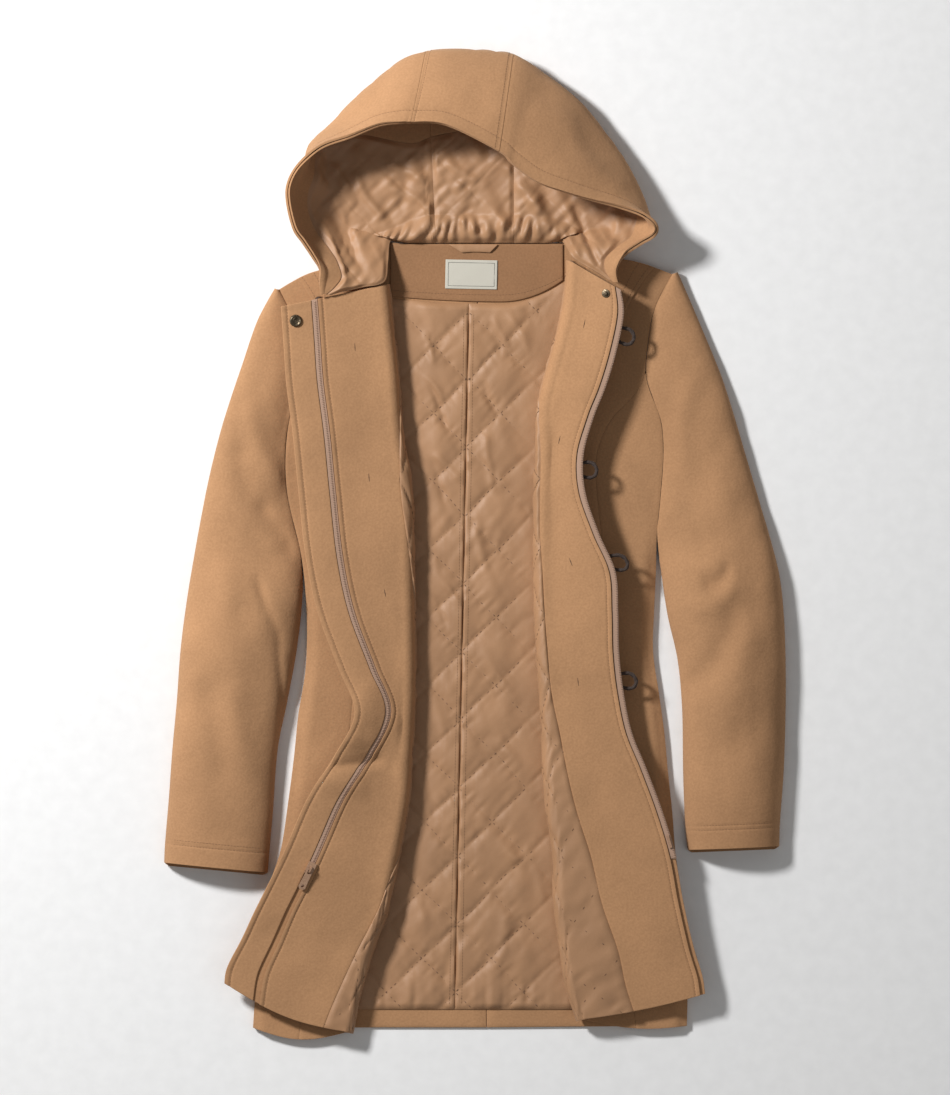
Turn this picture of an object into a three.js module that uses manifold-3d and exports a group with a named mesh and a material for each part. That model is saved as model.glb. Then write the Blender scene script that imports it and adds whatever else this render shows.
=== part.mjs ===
// Hooded wool duffle coat, laid open on its back on a flat surface.
// Millimetres, +Z up. The hood points to +Y, the hem to -Y, and the surface is z = 0.
// Left and right are the wearer's, so the right front lies on the -X side.

import * as THREE from "three";
import { mergeVertices } from "three/addons/utils/BufferGeometryUtils.js";
import Module from "manifold-3d";

// Cloth thicknesses and the gap kept between pieces
const WOOL = 2.5;
const FACING = 1.8;
const SATIN = 1.0;
const GAP = 0.3;

// Height of the middle of the wool where it lies flat, and of the fronts over the quilted lining
const FLAT = WOOL / 2;
const LINING_BASE = WOOL + GAP;
const STITCH_HEIGHT = 4.3;
const PUFF_TOP = 6.8;
const FRONT_LOW = PUFF_TOP + GAP + WOOL / 2;
const SIDE_SEAM = WOOL + GAP + WOOL / 2;

// Back, its neck and the diamond quilting of its lining
const NECK_TOP = 334.4;
const NECK_POINT = 0.45;
const SHOULDER_FADE = 0.5;
const DIAMOND = 75;
const LINING_HEM = -509;
const LINING_TOP = 260;
const LINING_INSET = 16;
const NECK_FACING_GAP = 2.5;

// Turned-back edges, fly placket, zip and facings
const FOLD_SKIN = WOOL / 2 + GAP + SATIN;
const FOLD_TURN = 9;
const PLACKET_WIDTH = 34;
const TAPE_WIDTH = 7;
const TAPE_THICKNESS = 1.2;
const TAPE_STEP = 1.5;
const ZIP_END = -372;
const LEFT_ZIP_END = -345;
const ON_WOOL = WOOL / 2 + GAP;
const UNDER_FOLD = 1.2;
const SEAM_START = 0.03;
const SIDE_RISE = 0.12;
const FOLD_RISE = 2.4;

// Yoke, with its outer and inner edges as shares of the lower leg
const YOKE_ROWS = 4;
const YOKE_TOP = 0.18;
const YOKE_LOW = 0.45;
const YOKE_MIDDLE = 0.65;
const YOKE_INSIDE = 0.9;

// Sleeve edges
const SLEEVE_EDGE = 6;
const SLEEVE_SEAM = 0.005;
const ARMHOLE_GAP = 1.6;
const ARMHOLE_ANGLE = 0.6;
const SHOULDER_PLACE = 0.15;
const CORNER_PART = 0.2;

// Hood
const NECK_ROLL = 8;
const NECK_ROLL_WIDTH = 22;
const NECK_GATHER = 0.7;
const HOOD_SEAM = 1;
const HOOD_GAP = 1.2;
const TUCK_PLACE = 0.14;
const FLOOR_PLACE = 0.45;
const MOST_FACING = 0.7;

const colors = {
  wool: 0xb98d61,
  facing: 0xc09466,
  satin: 0xb5885f,
  tape: 0xb88f70,
  label: 0xe4dfd0,
  cord: 0x2e211c,
  horn: 0x3a2a22,
  brass: 0x6b5a3c,
  zip: 0xa0785a,
};

function cloth(color) {
  return new THREE.MeshStandardMaterial({ color, roughness: 0.9, metalness: 0 });
}

function metal(color) {
  return new THREE.MeshStandardMaterial({ color, roughness: 0.4, metalness: 0.9 });
}

const coat = new THREE.Group();

function add(name, geometry, material, parent = coat) {
  const mesh = new THREE.Mesh(geometry, material);
  mesh.name = name;
  parent.add(mesh);
  return mesh;
}

// Tables and curves

const mix = THREE.MathUtils.lerp;
const smooth = (t) => THREE.MathUtils.smoothstep(t, 0, 1);

function table(names, rows) {
  const keys = names.split(" ");
  return rows.map((row) => Object.fromEntries(keys.map((key, k) => [key, row[k]])));
}

// Smooth row between the rows of a table, with place counted in rows
function rowAt(rows, place) {
  const index = Math.min(Math.floor(place), rows.length - 2);
  const t = place - index;
  const pick = (k) => rows[Math.max(0, Math.min(rows.length - 1, k))];
  const [a, b, c, d] = [pick(index - 1), pick(index), pick(index + 1), pick(index + 2)];
  const row = {};
  for (const key of Object.keys(b)) {
    const bend = 2 * a[key] - 5 * b[key] + 4 * c[key] - d[key];
    const twist = 3 * b[key] - a[key] - 3 * c[key] + d[key];
    row[key] = b[key] + 0.5 * t * (c[key] - a[key] + t * (bend + t * twist));
  }
  return row;
}

function stations(rows, perRow) {
  const count = (rows.length - 1) * perRow;
  return Array.from({ length: count + 1 }, (_, k) => rowAt(rows, k / perRow));
}

function spread(from, to, steps) {
  return Array.from({ length: steps + 1 }, (_, k) => mix(from, to, k / steps));
}

// Cloth: a surface gives the middle of the wool for a row and a place along it,
// and a layer is the solid between two of its faces

const NUDGE = 0.002;

function facePoint(surface, rows, i, path, offset) {
  const before = rows[Math.max(i - 1, 0)];
  const after = rows[Math.min(i + 1, rows.length - 1)];
  const down = surface(after, path).sub(surface(before, path));
  const across = surface(rows[i], path + NUDGE).sub(surface(rows[i], path - NUDGE));
  const normal = down.cross(across).normalize();
  const point = surface(rows[i], path).addScaledVector(normal, offset);
  point.z = Math.max(point.z, 0);
  return point;
}

// Sheet drawn back from the edges that are seams: "start" and "end" of its rows, "first" and "last" row
function trimmed(sheet, seams, gap) {
  const shift = (p, q) => p.clone().add(q.clone().sub(p).setLength(gap / 2));
  const columns = sheet.map((row) => {
    const result = [...row];
    if (seams.includes("start")) {
      result[0] = shift(row[0], row[1]);
    }
    if (seams.includes("end")) {
      result[row.length - 1] = shift(row.at(-1), row.at(-2));
    }
    return result;
  });
  const result = [...columns];
  if (seams.includes("first")) {
    result[0] = columns[0].map((p, j) => shift(p, columns[1][j]));
  }
  if (seams.includes("last")) {
    result[columns.length - 1] = columns.at(-1).map((p, j) => shift(p, columns.at(-2)[j]));
  }
  return result;
}

// Wall between two offsets from a surface, over all rows or some, with a lift added to both faces
function layer(surface, rows, paths, [from, to], options = {}) {
  const { first = 0, last = rows.length - 1, seams = [], gap = GAP, lift = () => 0 } = options;
  const sheet = (offset) => {
    const grid = [];
    for (let i = first; i <= last; i += 1) {
      const line = paths(rows[i]).map((path) => {
        const point = facePoint(surface, rows, i, path, offset);
        point.z += lift(rows[i], path, i);
        return point;
      });
      grid.push(line);
    }
    return trimmed(grid, seams, gap);
  };
  return wall(sheet(to), sheet(from));
}

function signedVolume(points, faces) {
  let sum = 0;
  for (const [a, b, c] of faces) {
    sum += points[a].dot(points[b].clone().cross(points[c]));
  }
  return sum / 6;
}

function solidGeometry(points, faces) {
  const outward = signedVolume(points, faces) > 0 ? faces : faces.map(([a, b, c]) => [a, c, b]);
  const geometry = new THREE.BufferGeometry();
  const numbers = points.flatMap((p) => p.toArray());
  geometry.setAttribute("position", new THREE.Float32BufferAttribute(numbers, 3));
  geometry.setIndex(outward.flat());
  return geometry;
}

// Closed wall between two grids of the same size
function wall(top, bottom, otherDiagonal = () => false) {
  const rows = top.length;
  const columns = top[0].length;
  const points = [...top.flat(), ...bottom.flat()];
  const under = rows * columns;
  const at = (i, j) => i * columns + j;
  const faces = [];
  const quad = (a, b, c, d) => faces.push([a, b, c], [a, c, d]);
  for (let i = 0; i < rows - 1; i += 1) {
    for (let j = 0; j < columns - 1; j += 1) {
      const corners = [at(i, j), at(i, j + 1), at(i + 1, j + 1), at(i + 1, j)];
      const [a, b, c, d] = otherDiagonal(i, j) ? [...corners.slice(1), corners[0]] : corners;
      quad(a, b, c, d);
      quad(under + a, under + d, under + c, under + b);
    }
  }
  for (let i = 0; i < rows - 1; i += 1) {
    const last = columns - 1;
    quad(at(i, 0), at(i + 1, 0), under + at(i + 1, 0), under + at(i, 0));
    quad(at(i + 1, last), at(i, last), under + at(i, last), under + at(i + 1, last));
  }
  for (let j = 0; j < columns - 1; j += 1) {
    const last = rows - 1;
    quad(at(0, j + 1), at(0, j), under + at(0, j), under + at(0, j + 1));
    quad(at(last, j), at(last, j + 1), under + at(last, j + 1), under + at(last, j));
  }
  return solidGeometry(points, faces);
}

// Fronts: each row gives the side seam, the fold and the free edge of one grainline.
// strip is the width of front lining that shows past the fold, lift the height of the free edge,
// seam the place of the princess seam on the lower leg, shoulder and sweep how far the lower and
// the folded-back leg bow towards the neck, and armhole is 1 where the side edge is the armhole.

const frontColumns = "sideX sideY foldX foldY freeX freeY strip lift seam shoulder sweep armhole";

const rightFront = stations(
  table(frontColumns, [
    [-215, 283, -94, 289, -212, 264, 1, 37, 0, 20, 0, 1],
    [-194, 241, -89, 239, -209, 222, 1, 37, 0, 4, 0, 1],
    [-189, 195, -84, 191, -206, 178, 2, 37, 0.04, 0, 0, 1],
    [-205, 129, -79, 127, -199, 124, 5, 37, 0.42, 0, 0, 1],
    [-206, 63, -69, 63, -193, 63, 12, 37, 0.55, 0, 0, 1],
    [-190, -10, -67, -10, -185, -10, 6, 37, 0.5, 0, 0, 1],
    [-184, -72, -66, -72, -172, -71, 2, 38, 0.5, 0, 0, 0],
    [-185, -133, -65, -133, -149, -133, 1, 40, 0.5, 0, 0, 0],
    [-193, -184, -66, -182, -131, -182, 1, 43, 0.5, 0, 0, 0],
    [-198, -232, -69, -231, -154, -230, 1, 41, 0.5, 0, 0, 0],
    [-204, -278, -72, -276, -184, -278, 1, 39, 0.5, 0, 0, 0],
    [-212, -331, -81, -329, -208, -333, 2, 37, 0.5, 0, 0, 0],
    [-224, -369, -90, -371, -226, -370, 7, 35, 0.5, 0, 0, 0],
    [-231, -405, -97, -403, -242, -402, 11, 32, 0.5, 0, 0, 0],
    [-235, -443, -111, -441, -255, -430, 16, 28, 0.5, 0, 0, 0],
    [-240, -487, -125, -487, -271, -461, 23, 24, 0.5, -4, -3, 0],
    [-243, -529, -135, -535, -274, -479, 33, 21, 0.5, -10, -10, 0],
  ]),
  2,
);

const leftFront = stations(
  table(frontColumns, [
    [218, 300, 103, 316, 160, 283, 1, 38, 0, 9, 0, 1],
    [199, 263, 99, 272, 163, 255, 1, 38, 0, 4, 0, 1],
    [191, 222, 91, 233, 154, 211, 1, 38, 0, 0, 0, 1],
    [190, 184, 77, 183, 143, 175, 1, 38, 0.04, 0, 0, 1],
    [205, 140, 70, 148, 130, 142, 4, 38, 0.42, 0, 0, 1],
    [208, 101, 69, 104, 119, 101, 6, 38, 0.57, 0, 0, 1],
    [205, 57, 67, 60, 121, 60, 7, 38, 0.55, 0, 0, 1],
    [201, 13, 67, 15, 136, 15, 7, 38, 0.5, 0, 0, 1],
    [200, -27, 67, -27, 154, -27, 9, 37, 0.5, 0, 0, 0],
    [198, -71, 68, -71, 157, -71, 10, 35, 0.5, 0, 0, 0],
    [197, -115, 70, -115, 158, -115, 11, 32, 0.5, 0, 0, 0],
    [203, -159, 73, -159, 163, -159, 12, 29, 0.5, 0, 0, 0],
    [209, -203, 76, -203, 172, -203, 18, 28, 0.5, 0, 0, 0],
    [213, -245, 77, -245, 188, -243, 25, 28, 0.5, 0, 0, 0],
    [218, -291, 81, -291, 206, -291, 32, 28, 0.5, 0, 0, 0],
    [222, -340, 88, -342, 221, -341, 41, 28, 0.5, 0, 0, 0],
    [229, -388, 89, -394, 230, -390, 52, 27, 0.5, 0, 0, 0],
    [233, -438, 96, -445, 241, -438, 62, 25, 0.5, 0, 0, 0],
    [235, -482, 103, -487, 251, -471, 64, 23, 0.5, -2, -1, 0],
    [234, -527, 115, -520, 254, -491, 62, 21, 0.5, -6, -3, 0],
  ]),
  2,
);

const sideOf = (row) => new THREE.Vector2(row.sideX, row.sideY);
const foldOf = (row) => new THREE.Vector2(row.foldX, row.foldY);
const freeOf = (row) => new THREE.Vector2(row.freeX, row.freeY);

// Turn of the fold, tighter towards the hem where the free edge lies low
function turnRadius(row) {
  return Math.min(FOLD_TURN, (row.lift - FRONT_LOW) / FOLD_RISE);
}

// Middle of the wool of a front. path runs 0 to 1 along the lower leg from side seam to fold,
// 1 to 2 round the fold, and 2 to 3 along the folded-back leg to the free edge.
function frontPoint(row, path) {
  const fold = foldOf(row);
  const toSide = sideOf(row).sub(fold).normalize();
  const toFree = freeOf(row).sub(fold).normalize();
  const turn = turnRadius(row);
  const inset = FOLD_SKIN + turn;
  if (path <= 1) {
    const plan = sideOf(row).lerp(fold.addScaledVector(toSide, inset), path);
    const bow = row.shoulder * Math.sin(Math.PI * path);
    const edge = mix(SIDE_SEAM, FRONT_LOW, THREE.MathUtils.clamp(row.armhole, 0, 1));
    return new THREE.Vector3(plan.x, plan.y + bow, mix(edge, FRONT_LOW, smooth(path / SIDE_RISE)));
  }
  if (path >= 2) {
    const along = path - 2;
    const plan = fold.addScaledVector(toFree, inset).lerp(freeOf(row), along);
    const bow = row.sweep * Math.sin(Math.PI * along);
    const height = mix(FRONT_LOW + 2 * turn, row.lift, smooth(along));
    return new THREE.Vector3(plan.x, plan.y + bow, height);
  }
  const angle = (path - 1.5) * Math.PI;
  const inward = toSide.lerp(toFree, path - 1).normalize();
  const plan = fold.addScaledVector(inward, FOLD_SKIN + turn * (1 - Math.cos(angle)));
  return new THREE.Vector3(plan.x, plan.y, FRONT_LOW + turn + turn * Math.sin(angle));
}

const lowerLength = (row) => frontPoint(row, 0).distanceTo(frontPoint(row, 1));
const upperLength = (row) => frontPoint(row, 2).distanceTo(frontPoint(row, 3));
const fromFree = (row, distance) => 3 - distance / upperLength(row);

// Where facing meets front lining
function liningSeam(row) {
  const turn = turnRadius(row);
  const beyond = row.strip - FOLD_SKIN - turn;
  if (beyond > 0) {
    return 2 + beyond / upperLength(row);
  }
  return 1.5 + Math.acos(THREE.MathUtils.clamp(-beyond / turn, 0, 1)) / Math.PI;
}

const liningPaths = (row) => spread(UNDER_FOLD, liningSeam(row), 3);

function makeFront(side, rows, inner, edges, facingEnd) {
  const princess = (row) => (row.seam > SEAM_START ? row.seam : 0);
  const lowerPaths = (row) => [princess(row), mix(princess(row), 1, 0.5), 1];
  const inside = (row) => fromFree(row, facingEnd(row));
  const facingPaths = (row) => spread(liningSeam(row), inside(row), 3);
  const edgePaths = (row) => edges.map((edge) => fromFree(row, edge));
  const innerPaths = (row) => [...liningPaths(row), ...facingPaths(row).slice(1)];
  const panel = (row) => [...lowerPaths(row), ...innerPaths(row), ...edgePaths(row)];
  const wool = cloth(colors.wool);
  const middle = [-FLAT, FLAT];
  add(`front_${side}`, layer(frontPoint, rows, panel, middle, { seams: ["start"] }), wool);

  const first = rows.findIndex((row) => row.seam > SEAM_START);
  const sidePaths = (row) => [0, Math.min(SIDE_RISE, row.seam / 2), row.seam];
  const sideFront = layer(frontPoint, rows, sidePaths, middle, { first, seams: ["first", "end"] });
  add(`side_front_${side}`, sideFront, wool);

  const yokeSeam = (row) => mix(YOKE_TOP, YOKE_LOW, rows.indexOf(row) / YOKE_ROWS);
  const yokePaths = (row) => [yokeSeam(row), YOKE_MIDDLE, YOKE_INSIDE];
  const yoke = [-inner * ON_WOOL, -inner * (ON_WOOL + FACING)];
  add(`front_yoke_${side}`, layer(frontPoint, rows, yokePaths, yoke, { last: YOKE_ROWS }), wool);

  const cover = (name, paths, thickness, color, options) => {
    const faces = [inner * ON_WOOL, inner * (ON_WOOL + thickness)];
    add(name, layer(frontPoint, rows, paths, faces, options), cloth(color));
  };
  cover(`front_lining_${side}`, liningPaths, SATIN, colors.satin, { seams: ["end"], gap: 2 * GAP });
  const facingSeams = { seams: ["start", "end"], gap: 2 * GAP };
  cover(`facing_${side}`, facingPaths, FACING, colors.facing, facingSeams);
  return cover;
}

// Right front, with the fly placket outside the zip
const lastZipRow = rightFront.findLastIndex((row) => row.freeY > ZIP_END);
const tapeInside = (row) => PLACKET_WIDTH + (row.freeY > ZIP_END ? TAPE_WIDTH : 0);
const placketEdges = [PLACKET_WIDTH, PLACKET_WIDTH / 2, 0];
const coverRight = makeFront("right", rightFront, -1, placketEdges, tapeInside);
const placketPaths = (row) => placketEdges.map((edge) => fromFree(row, edge));
coverRight("fly_placket", placketPaths, FACING, colors.wool, { seams: ["start"] });
const rightTapePaths = (row) => [fromFree(row, PLACKET_WIDTH + TAPE_WIDTH), fromFree(row, PLACKET_WIDTH)];
const rightTapeSeams = { last: lastZipRow, seams: ["start", "end"] };
coverRight("zip_tape_right", rightTapePaths, TAPE_THICKNESS, colors.tape, rightTapeSeams);

// Left front, with its zip tape along the free edge
const LEFT_TAPE_INSIDE = TAPE_WIDTH - TAPE_STEP;
const lastLeftZipRow = leftFront.findLastIndex((row) => row.freeY > LEFT_ZIP_END);
const coverLeft = makeFront("left", leftFront, 1, [0], () => LEFT_TAPE_INSIDE);
const leftTapePaths = (row) => [fromFree(row, LEFT_TAPE_INSIDE), fromFree(row, -TAPE_STEP)];
const leftTapeSeams = { last: lastLeftZipRow, seams: ["start"] };
coverLeft("zip_tape_left", leftTapePaths, TAPE_THICKNESS, colors.tape, leftTapeSeams);

// Back: two flat halves under the fronts, then the quilted lining over them

const BACK_SEAM = { hemX: 14, neckX: 3, hemY: -529 };
const backSeamX = (y) => {
  const up = (y - BACK_SEAM.hemY) / (NECK_TOP - BACK_SEAM.hemY);
  return mix(BACK_SEAM.hemX, BACK_SEAM.neckX, up);
};

function backSheet(rows, z) {
  const side = Math.sign(rows[0].sideX);
  return rows.map((row, i) => {
    const risen = (NECK_TOP - rows[0].sideY) * SHOULDER_FADE ** i;
    const centreX = backSeamX(row.sideY) + (side * GAP) / 2;
    return [0, NECK_POINT, (1 + NECK_POINT) / 2, 1].map((across) => {
      const slope = Math.min(1, (1 - across) / (1 - NECK_POINT));
      return new THREE.Vector3(mix(centreX, row.sideX, across), row.sideY + risen * slope, z);
    });
  });
}

add("back_right", wall(backSheet(rightFront, WOOL), backSheet(rightFront, 0)), cloth(colors.wool));
add("back_left", wall(backSheet(leftFront, WOOL), backSheet(leftFront, 0)), cloth(colors.wool));

// Lower edge of the back neck facing
const NECK_EDGE = { x: 30, y: 270, bendRight: 0.0004, bendLeft: 0.0051 };
const NECK_ENDS = { right: -92, left: 98 };

function neckEdge(x) {
  const bend = x > NECK_EDGE.x ? NECK_EDGE.bendLeft : NECK_EDGE.bendRight;
  return NECK_EDGE.y + bend * (x - NECK_EDGE.x) ** 2;
}

const LINING_SEAM = { hemX: -21, topX: -5.5 };
const liningSeamX = (y) => {
  const up = (y - LINING_HEM) / (NECK_EDGE.y - LINING_HEM);
  return mix(LINING_SEAM.hemX, LINING_SEAM.topX, up);
};

function sideAt(rows, y) {
  const k = Math.max(1, rows.findIndex((row) => row.sideY < y));
  const [above, below] = [rows[k - 1], rows[k]];
  return mix(below.sideX, above.sideX, (y - below.sideY) / (above.sideY - below.sideY));
}

function liningPanel(name, rows) {
  const side = Math.sign(rows[0].sideX);
  const half = DIAMOND / 2;
  const rowCount = Math.round((LINING_TOP - LINING_HEM) / half);
  const top = [];
  const bottom = [];
  for (let i = 0; i <= rowCount; i += 1) {
    const y = mix(LINING_TOP, LINING_HEM, i / rowCount);
    const heights = [];
    for (let j = 0; j <= 5; j += 1) {
      const quilted = liningSeamX(y) + side * (GAP / 2 + j * half);
      const x = j < 5 ? quilted : sideAt(rows, y) - side * LINING_INSET;
      const rim = i === 0 || i === rowCount || j === 0 || j === 5;
      const z = rim || (i + j) % 2 === 0 ? STITCH_HEIGHT : PUFF_TOP;
      const place = i === 0 && j < 4 ? neckEdge(x) - NECK_FACING_GAP : y;
      heights.push(new THREE.Vector3(x, place, z));
    }
    top.push(heights);
    bottom.push(heights.map((p) => new THREE.Vector3(p.x, p.y, LINING_BASE)));
  }
  add(name, wall(top, bottom, (i, j) => (i + j) % 2 === 1), cloth(colors.satin));
}

liningPanel("back_lining_right", rightFront);
liningPanel("back_lining_left", leftFront);

// Back neck facing, hanger loop and bare label

function neckFacing() {
  const sheet = (z) =>
    spread(0, 1, 2).map((up) =>
      spread(NECK_ENDS.right, NECK_ENDS.left, 6).map((x) => {
        return new THREE.Vector3(x, mix(neckEdge(x), NECK_TOP - 1, up), z);
      }),
    );
  add("back_neck_facing", wall(sheet(LINING_BASE + FACING), sheet(LINING_BASE)), cloth(colors.facing));
}

function plate(outline, depth, hole) {
  const shape = new THREE.Shape(outline.map(([x, y]) => new THREE.Vector2(x, y)));
  if (hole) {
    shape.holes.push(new THREE.Path(hole.map(([x, y]) => new THREE.Vector2(x, y))));
  }
  return new THREE.ExtrudeGeometry(shape, { depth, bevelEnabled: false });
}

function rectangle(width, height) {
  const [x, y] = [width / 2, height / 2];
  return [[-x, -y], [x, -y], [x, y], [-x, y]];
}

const ON_NECK = LINING_BASE + FACING + GAP;

neckFacing();

const hangerOutline = [[-27, 332], [-15, 323], [17, 323], [26, 332]];
const hangerHole = [[-18, 330], [17, 330], [13, 327], [-12, 327]];
const hanger = add("hanger_loop", plate(hangerOutline, 1, hangerHole), cloth(colors.satin));
hanger.position.z = ON_NECK;

const LABEL = { x: -3, y: 300, width: 57, height: 32, thickness: 0.7, turn: -0.02 };
const labelPlate = plate(rectangle(LABEL.width, LABEL.height), LABEL.thickness);
const label = add("neck_label", labelPlate, cloth(colors.label));
label.position.set(LABEL.x, LABEL.y, ON_NECK);
label.rotation.z = LABEL.turn;

// Sleeves: rows give the outer edge, the inner edge, the height of the flattened tube, and
// joined is 1 where the inner edge is the armhole. path runs 0 to 1 over the top sleeve from
// the inner to the outer edge, and 1 to 2 back along the under sleeve.

const headColumns = "outerX outerY height";
const armColumns = "outerX outerY innerX innerY height";

const rightHead = table(headColumns, [
  [-219, 285, 12],
  [-238, 250, 16],
  [-254, 204, 20],
  [-277, 134, 23],
  [-294, 65, 26],
  [-308, -10, 29],
]);
const rightArm = table(armColumns, [
  [-316, -58, -189, -58, 32],
  [-323, -113, -195, -113, 34],
  [-327, -168, -205, -168, 34],
  [-332, -223, -216, -223, 33],
  [-336, -278, -221, -289, 31],
  [-340, -325, -225, -334, 29],
  [-341, -347, -227, -358, 28],
]);
const leftHead = table(headColumns, [
  [224, 303, 12],
  [240, 266, 16],
  [256, 228, 19],
  [273, 186, 22],
  [287, 142, 24],
  [299, 101, 26],
  [312, 57, 28],
  [325, 13, 30],
]);
const leftArm = table(armColumns, [
  [336, -30, 206, -28, 32],
  [341, -75, 213, -75, 34],
  [343, -124, 224, -124, 34],
  [343, -179, 229, -179, 33],
  [341, -245, 230, -245, 32],
  [337, -300, 232, -300, 31],
  [336, -329, 235, -333, 30],
]);

const CUFF_STEP = 9;

function sleeveRows(front, head, arm) {
  const heads = [rowAt(head, SHOULDER_PLACE), ...stations(head, 2).slice(1)].map((row, k) => {
    const shoulder = sideOf(front[0]).lerp(sideOf(front[1]), 2 * SHOULDER_PLACE);
    const armhole = k > 0 ? sideOf(front[k]) : shoulder;
    return { ...row, innerX: armhole.x, innerY: armhole.y, joined: 1, cuff: 0 };
  });
  const arms = arm.map((row, k) => ({ ...row, joined: 0, cuff: k === arm.length - 1 ? 1 : 0 }));
  return [...heads, ...arms];
}

function sleevePoint(row, path) {
  const inner = new THREE.Vector2(row.innerX, row.innerY);
  const outer = new THREE.Vector2(row.outerX, row.outerY);
  const outward = outer.clone().sub(inner).normalize();
  const upper = path <= 1;
  const gap = upper ? ARMHOLE_GAP : GAP;
  inner.addScaledVector(outward, mix(FLAT, gap, row.joined));
  outer.addScaledVector(outward, -FLAT);
  const width = inner.distanceTo(outer);
  if (upper) {
    const start = ARMHOLE_ANGLE * row.joined;
    const angle = mix(start, Math.PI, path);
    const across = (Math.cos(start) - Math.cos(angle)) / (Math.cos(start) + 1);
    const edge = mix(mix(SLEEVE_EDGE, FRONT_LOW, row.joined), SLEEVE_EDGE, across);
    const dome = Math.sin(angle) - Math.sin(start) * (1 - across);
    const plan = inner.lerp(outer, across);
    return new THREE.Vector3(plan.x, plan.y, edge + (row.height - edge) * dome);
  }
  const corner = SLEEVE_EDGE - FLAT;
  const back = path - 1;
  const innerCorner = corner * (1 - row.joined);
  const turned = back < CORNER_PART ? back / CORNER_PART : 1 - (1 - back) / CORNER_PART;
  let run = mix(corner, width - innerCorner, (back - CORNER_PART) / (1 - 2 * CORNER_PART));
  let rise = 0;
  if (back < CORNER_PART) {
    const angle = turned * (Math.PI / 2);
    run = corner * (1 - Math.cos(angle));
    rise = corner * (1 - Math.sin(angle));
  } else if (back > 1 - CORNER_PART) {
    const angle = turned * (Math.PI / 2);
    run = width - innerCorner * (1 - Math.sin(angle));
    rise = innerCorner * (1 - Math.cos(angle));
  }
  const plan = outer.addScaledVector(outward, -run);
  return new THREE.Vector3(plan.x, plan.y - CUFF_STEP * row.cuff, FLAT + rise);
}

const topPaths = () => [SLEEVE_SEAM, 0.1, 0.25, 0.42, 0.58, 0.75, 0.9, 1 - SLEEVE_SEAM];
const underPaths = () => [1 + SLEEVE_SEAM, 1.1, 1.2, 1.5, 1.8, 1.9, 2 - SLEEVE_SEAM];

function makeSleeve(side, front, head, arm) {
  const rows = sleeveRows(front, head, arm);
  add(`top_sleeve_${side}`, layer(sleevePoint, rows, topPaths, [-FLAT, FLAT]), cloth(colors.wool));
  add(`under_sleeve_${side}`, layer(sleevePoint, rows, underPaths, [-FLAT, FLAT]), cloth(colors.wool));
}

makeSleeve("right", rightFront, rightHead, rightArm);
makeSleeve("left", leftFront, leftHead, leftArm);

// Hood: each rib runs from the rim, by the side (the outermost place of the top ribs), down to a
// tuck near the surface and over its floor to the neck seam. facing is the width of wool inside.

const hoodColumns = "rimX rimY rimZ sideX sideY sideZ tuck floor neckX neckY neckZ facing";

const ribs = table(hoodColumns, [
  [-169, 277, 38, -166, 278, 37.5, 37, 36, -157, 277.4, 35, 6],
  [-170, 291, 41, -164, 289, 38, 37, 35, -143, 280.6, 33.5, 18],
  [-170, 305, 45, -163, 302, 39, 36, 32, -121, 285.4, 30, 28],
  [-178, 319, 49, -171, 314, 39, 35, 28, -99, 290.6, 26.5, 36],
  [-188, 334, 52, -180, 328, 38, 28, 18, -95, 312, 16, 42],
  [-198, 349, 55, -190, 344, 37, 20, 8, -92, 336, 4, 45],
  [-205, 378, 58, -196, 371, 36, 14, 1.3, -78, 335.4, 1.3, 45],
  [-204, 399, 60, -195, 392, 35, 13, 1.3, -70, 334.8, 1.3, 45],
  [-192, 420, 62, -186, 410, 33, 12, 1.3, -62, 334.8, 1.3, 45],
  [-168, 440, 66, -180, 440, 25, 6, 1.3, -56, 334.8, 1.3, 55],
  [-136, 451, 70, -153, 468, 20, 4, 1.3, -51, 334.8, 1.3, 80],
  [-104, 463, 74, -123, 499, 20, 3, 1.3, -46, 334.8, 1.3, 130],
  [-80, 465, 76, -84, 532, 20, 3, 1.3, -44, 334.8, 1.3, 185],
  [-69, 465, 76, -52, 544, 20, 3, 1.3, -42, 334.8, 1.3, 200],
  [-30, 462, 78, -4, 546, 20, 3, 1.3, 1, 334.8, 1.3, 200],
  [28, 433, 76, 44, 541, 20, 3, 1.3, 44, 334.8, 1.3, 200],
  [43, 419, 74, 78, 519, 20, 3, 1.3, 53, 334.8, 1.3, 165],
  [69, 400, 71, 114, 492, 20, 3, 1.3, 61, 334.8, 1.3, 130],
  [100, 389, 68, 143, 457, 20, 4, 1.3, 70, 334.8, 1.3, 96],
  [128, 381, 64, 166, 424, 20, 5, 1.3, 79, 334.8, 1.3, 68],
  [160, 374, 60, 184, 388, 24, 8, 1.3, 87, 335.4, 1.3, 52],
  [185, 366, 57, 192, 364, 32, 14, 4, 93, 336, 2, 45],
  [200, 354, 54, 194, 349, 38, 22, 10, 98, 336, 6, 42],
  [199, 342, 51, 191, 338, 39, 30, 18, 103, 328, 16, 38],
  [183, 332, 48, 176, 329, 39, 33, 27, 107, 320, 26, 32],
  [166, 320, 45, 160, 318, 40, 36, 31, 121, 310, 29, 25],
  [157, 305, 41, 154, 304, 39, 37, 34, 136, 301.5, 32.5, 14],
  [158, 291, 38, 156, 291.5, 37.5, 37, 36, 149, 293.5, 35, 5],
]);

const RIGHT_GUSSET = 13;
const LEFT_GUSSET = 15;
const PUFF = 0.12;

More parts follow.
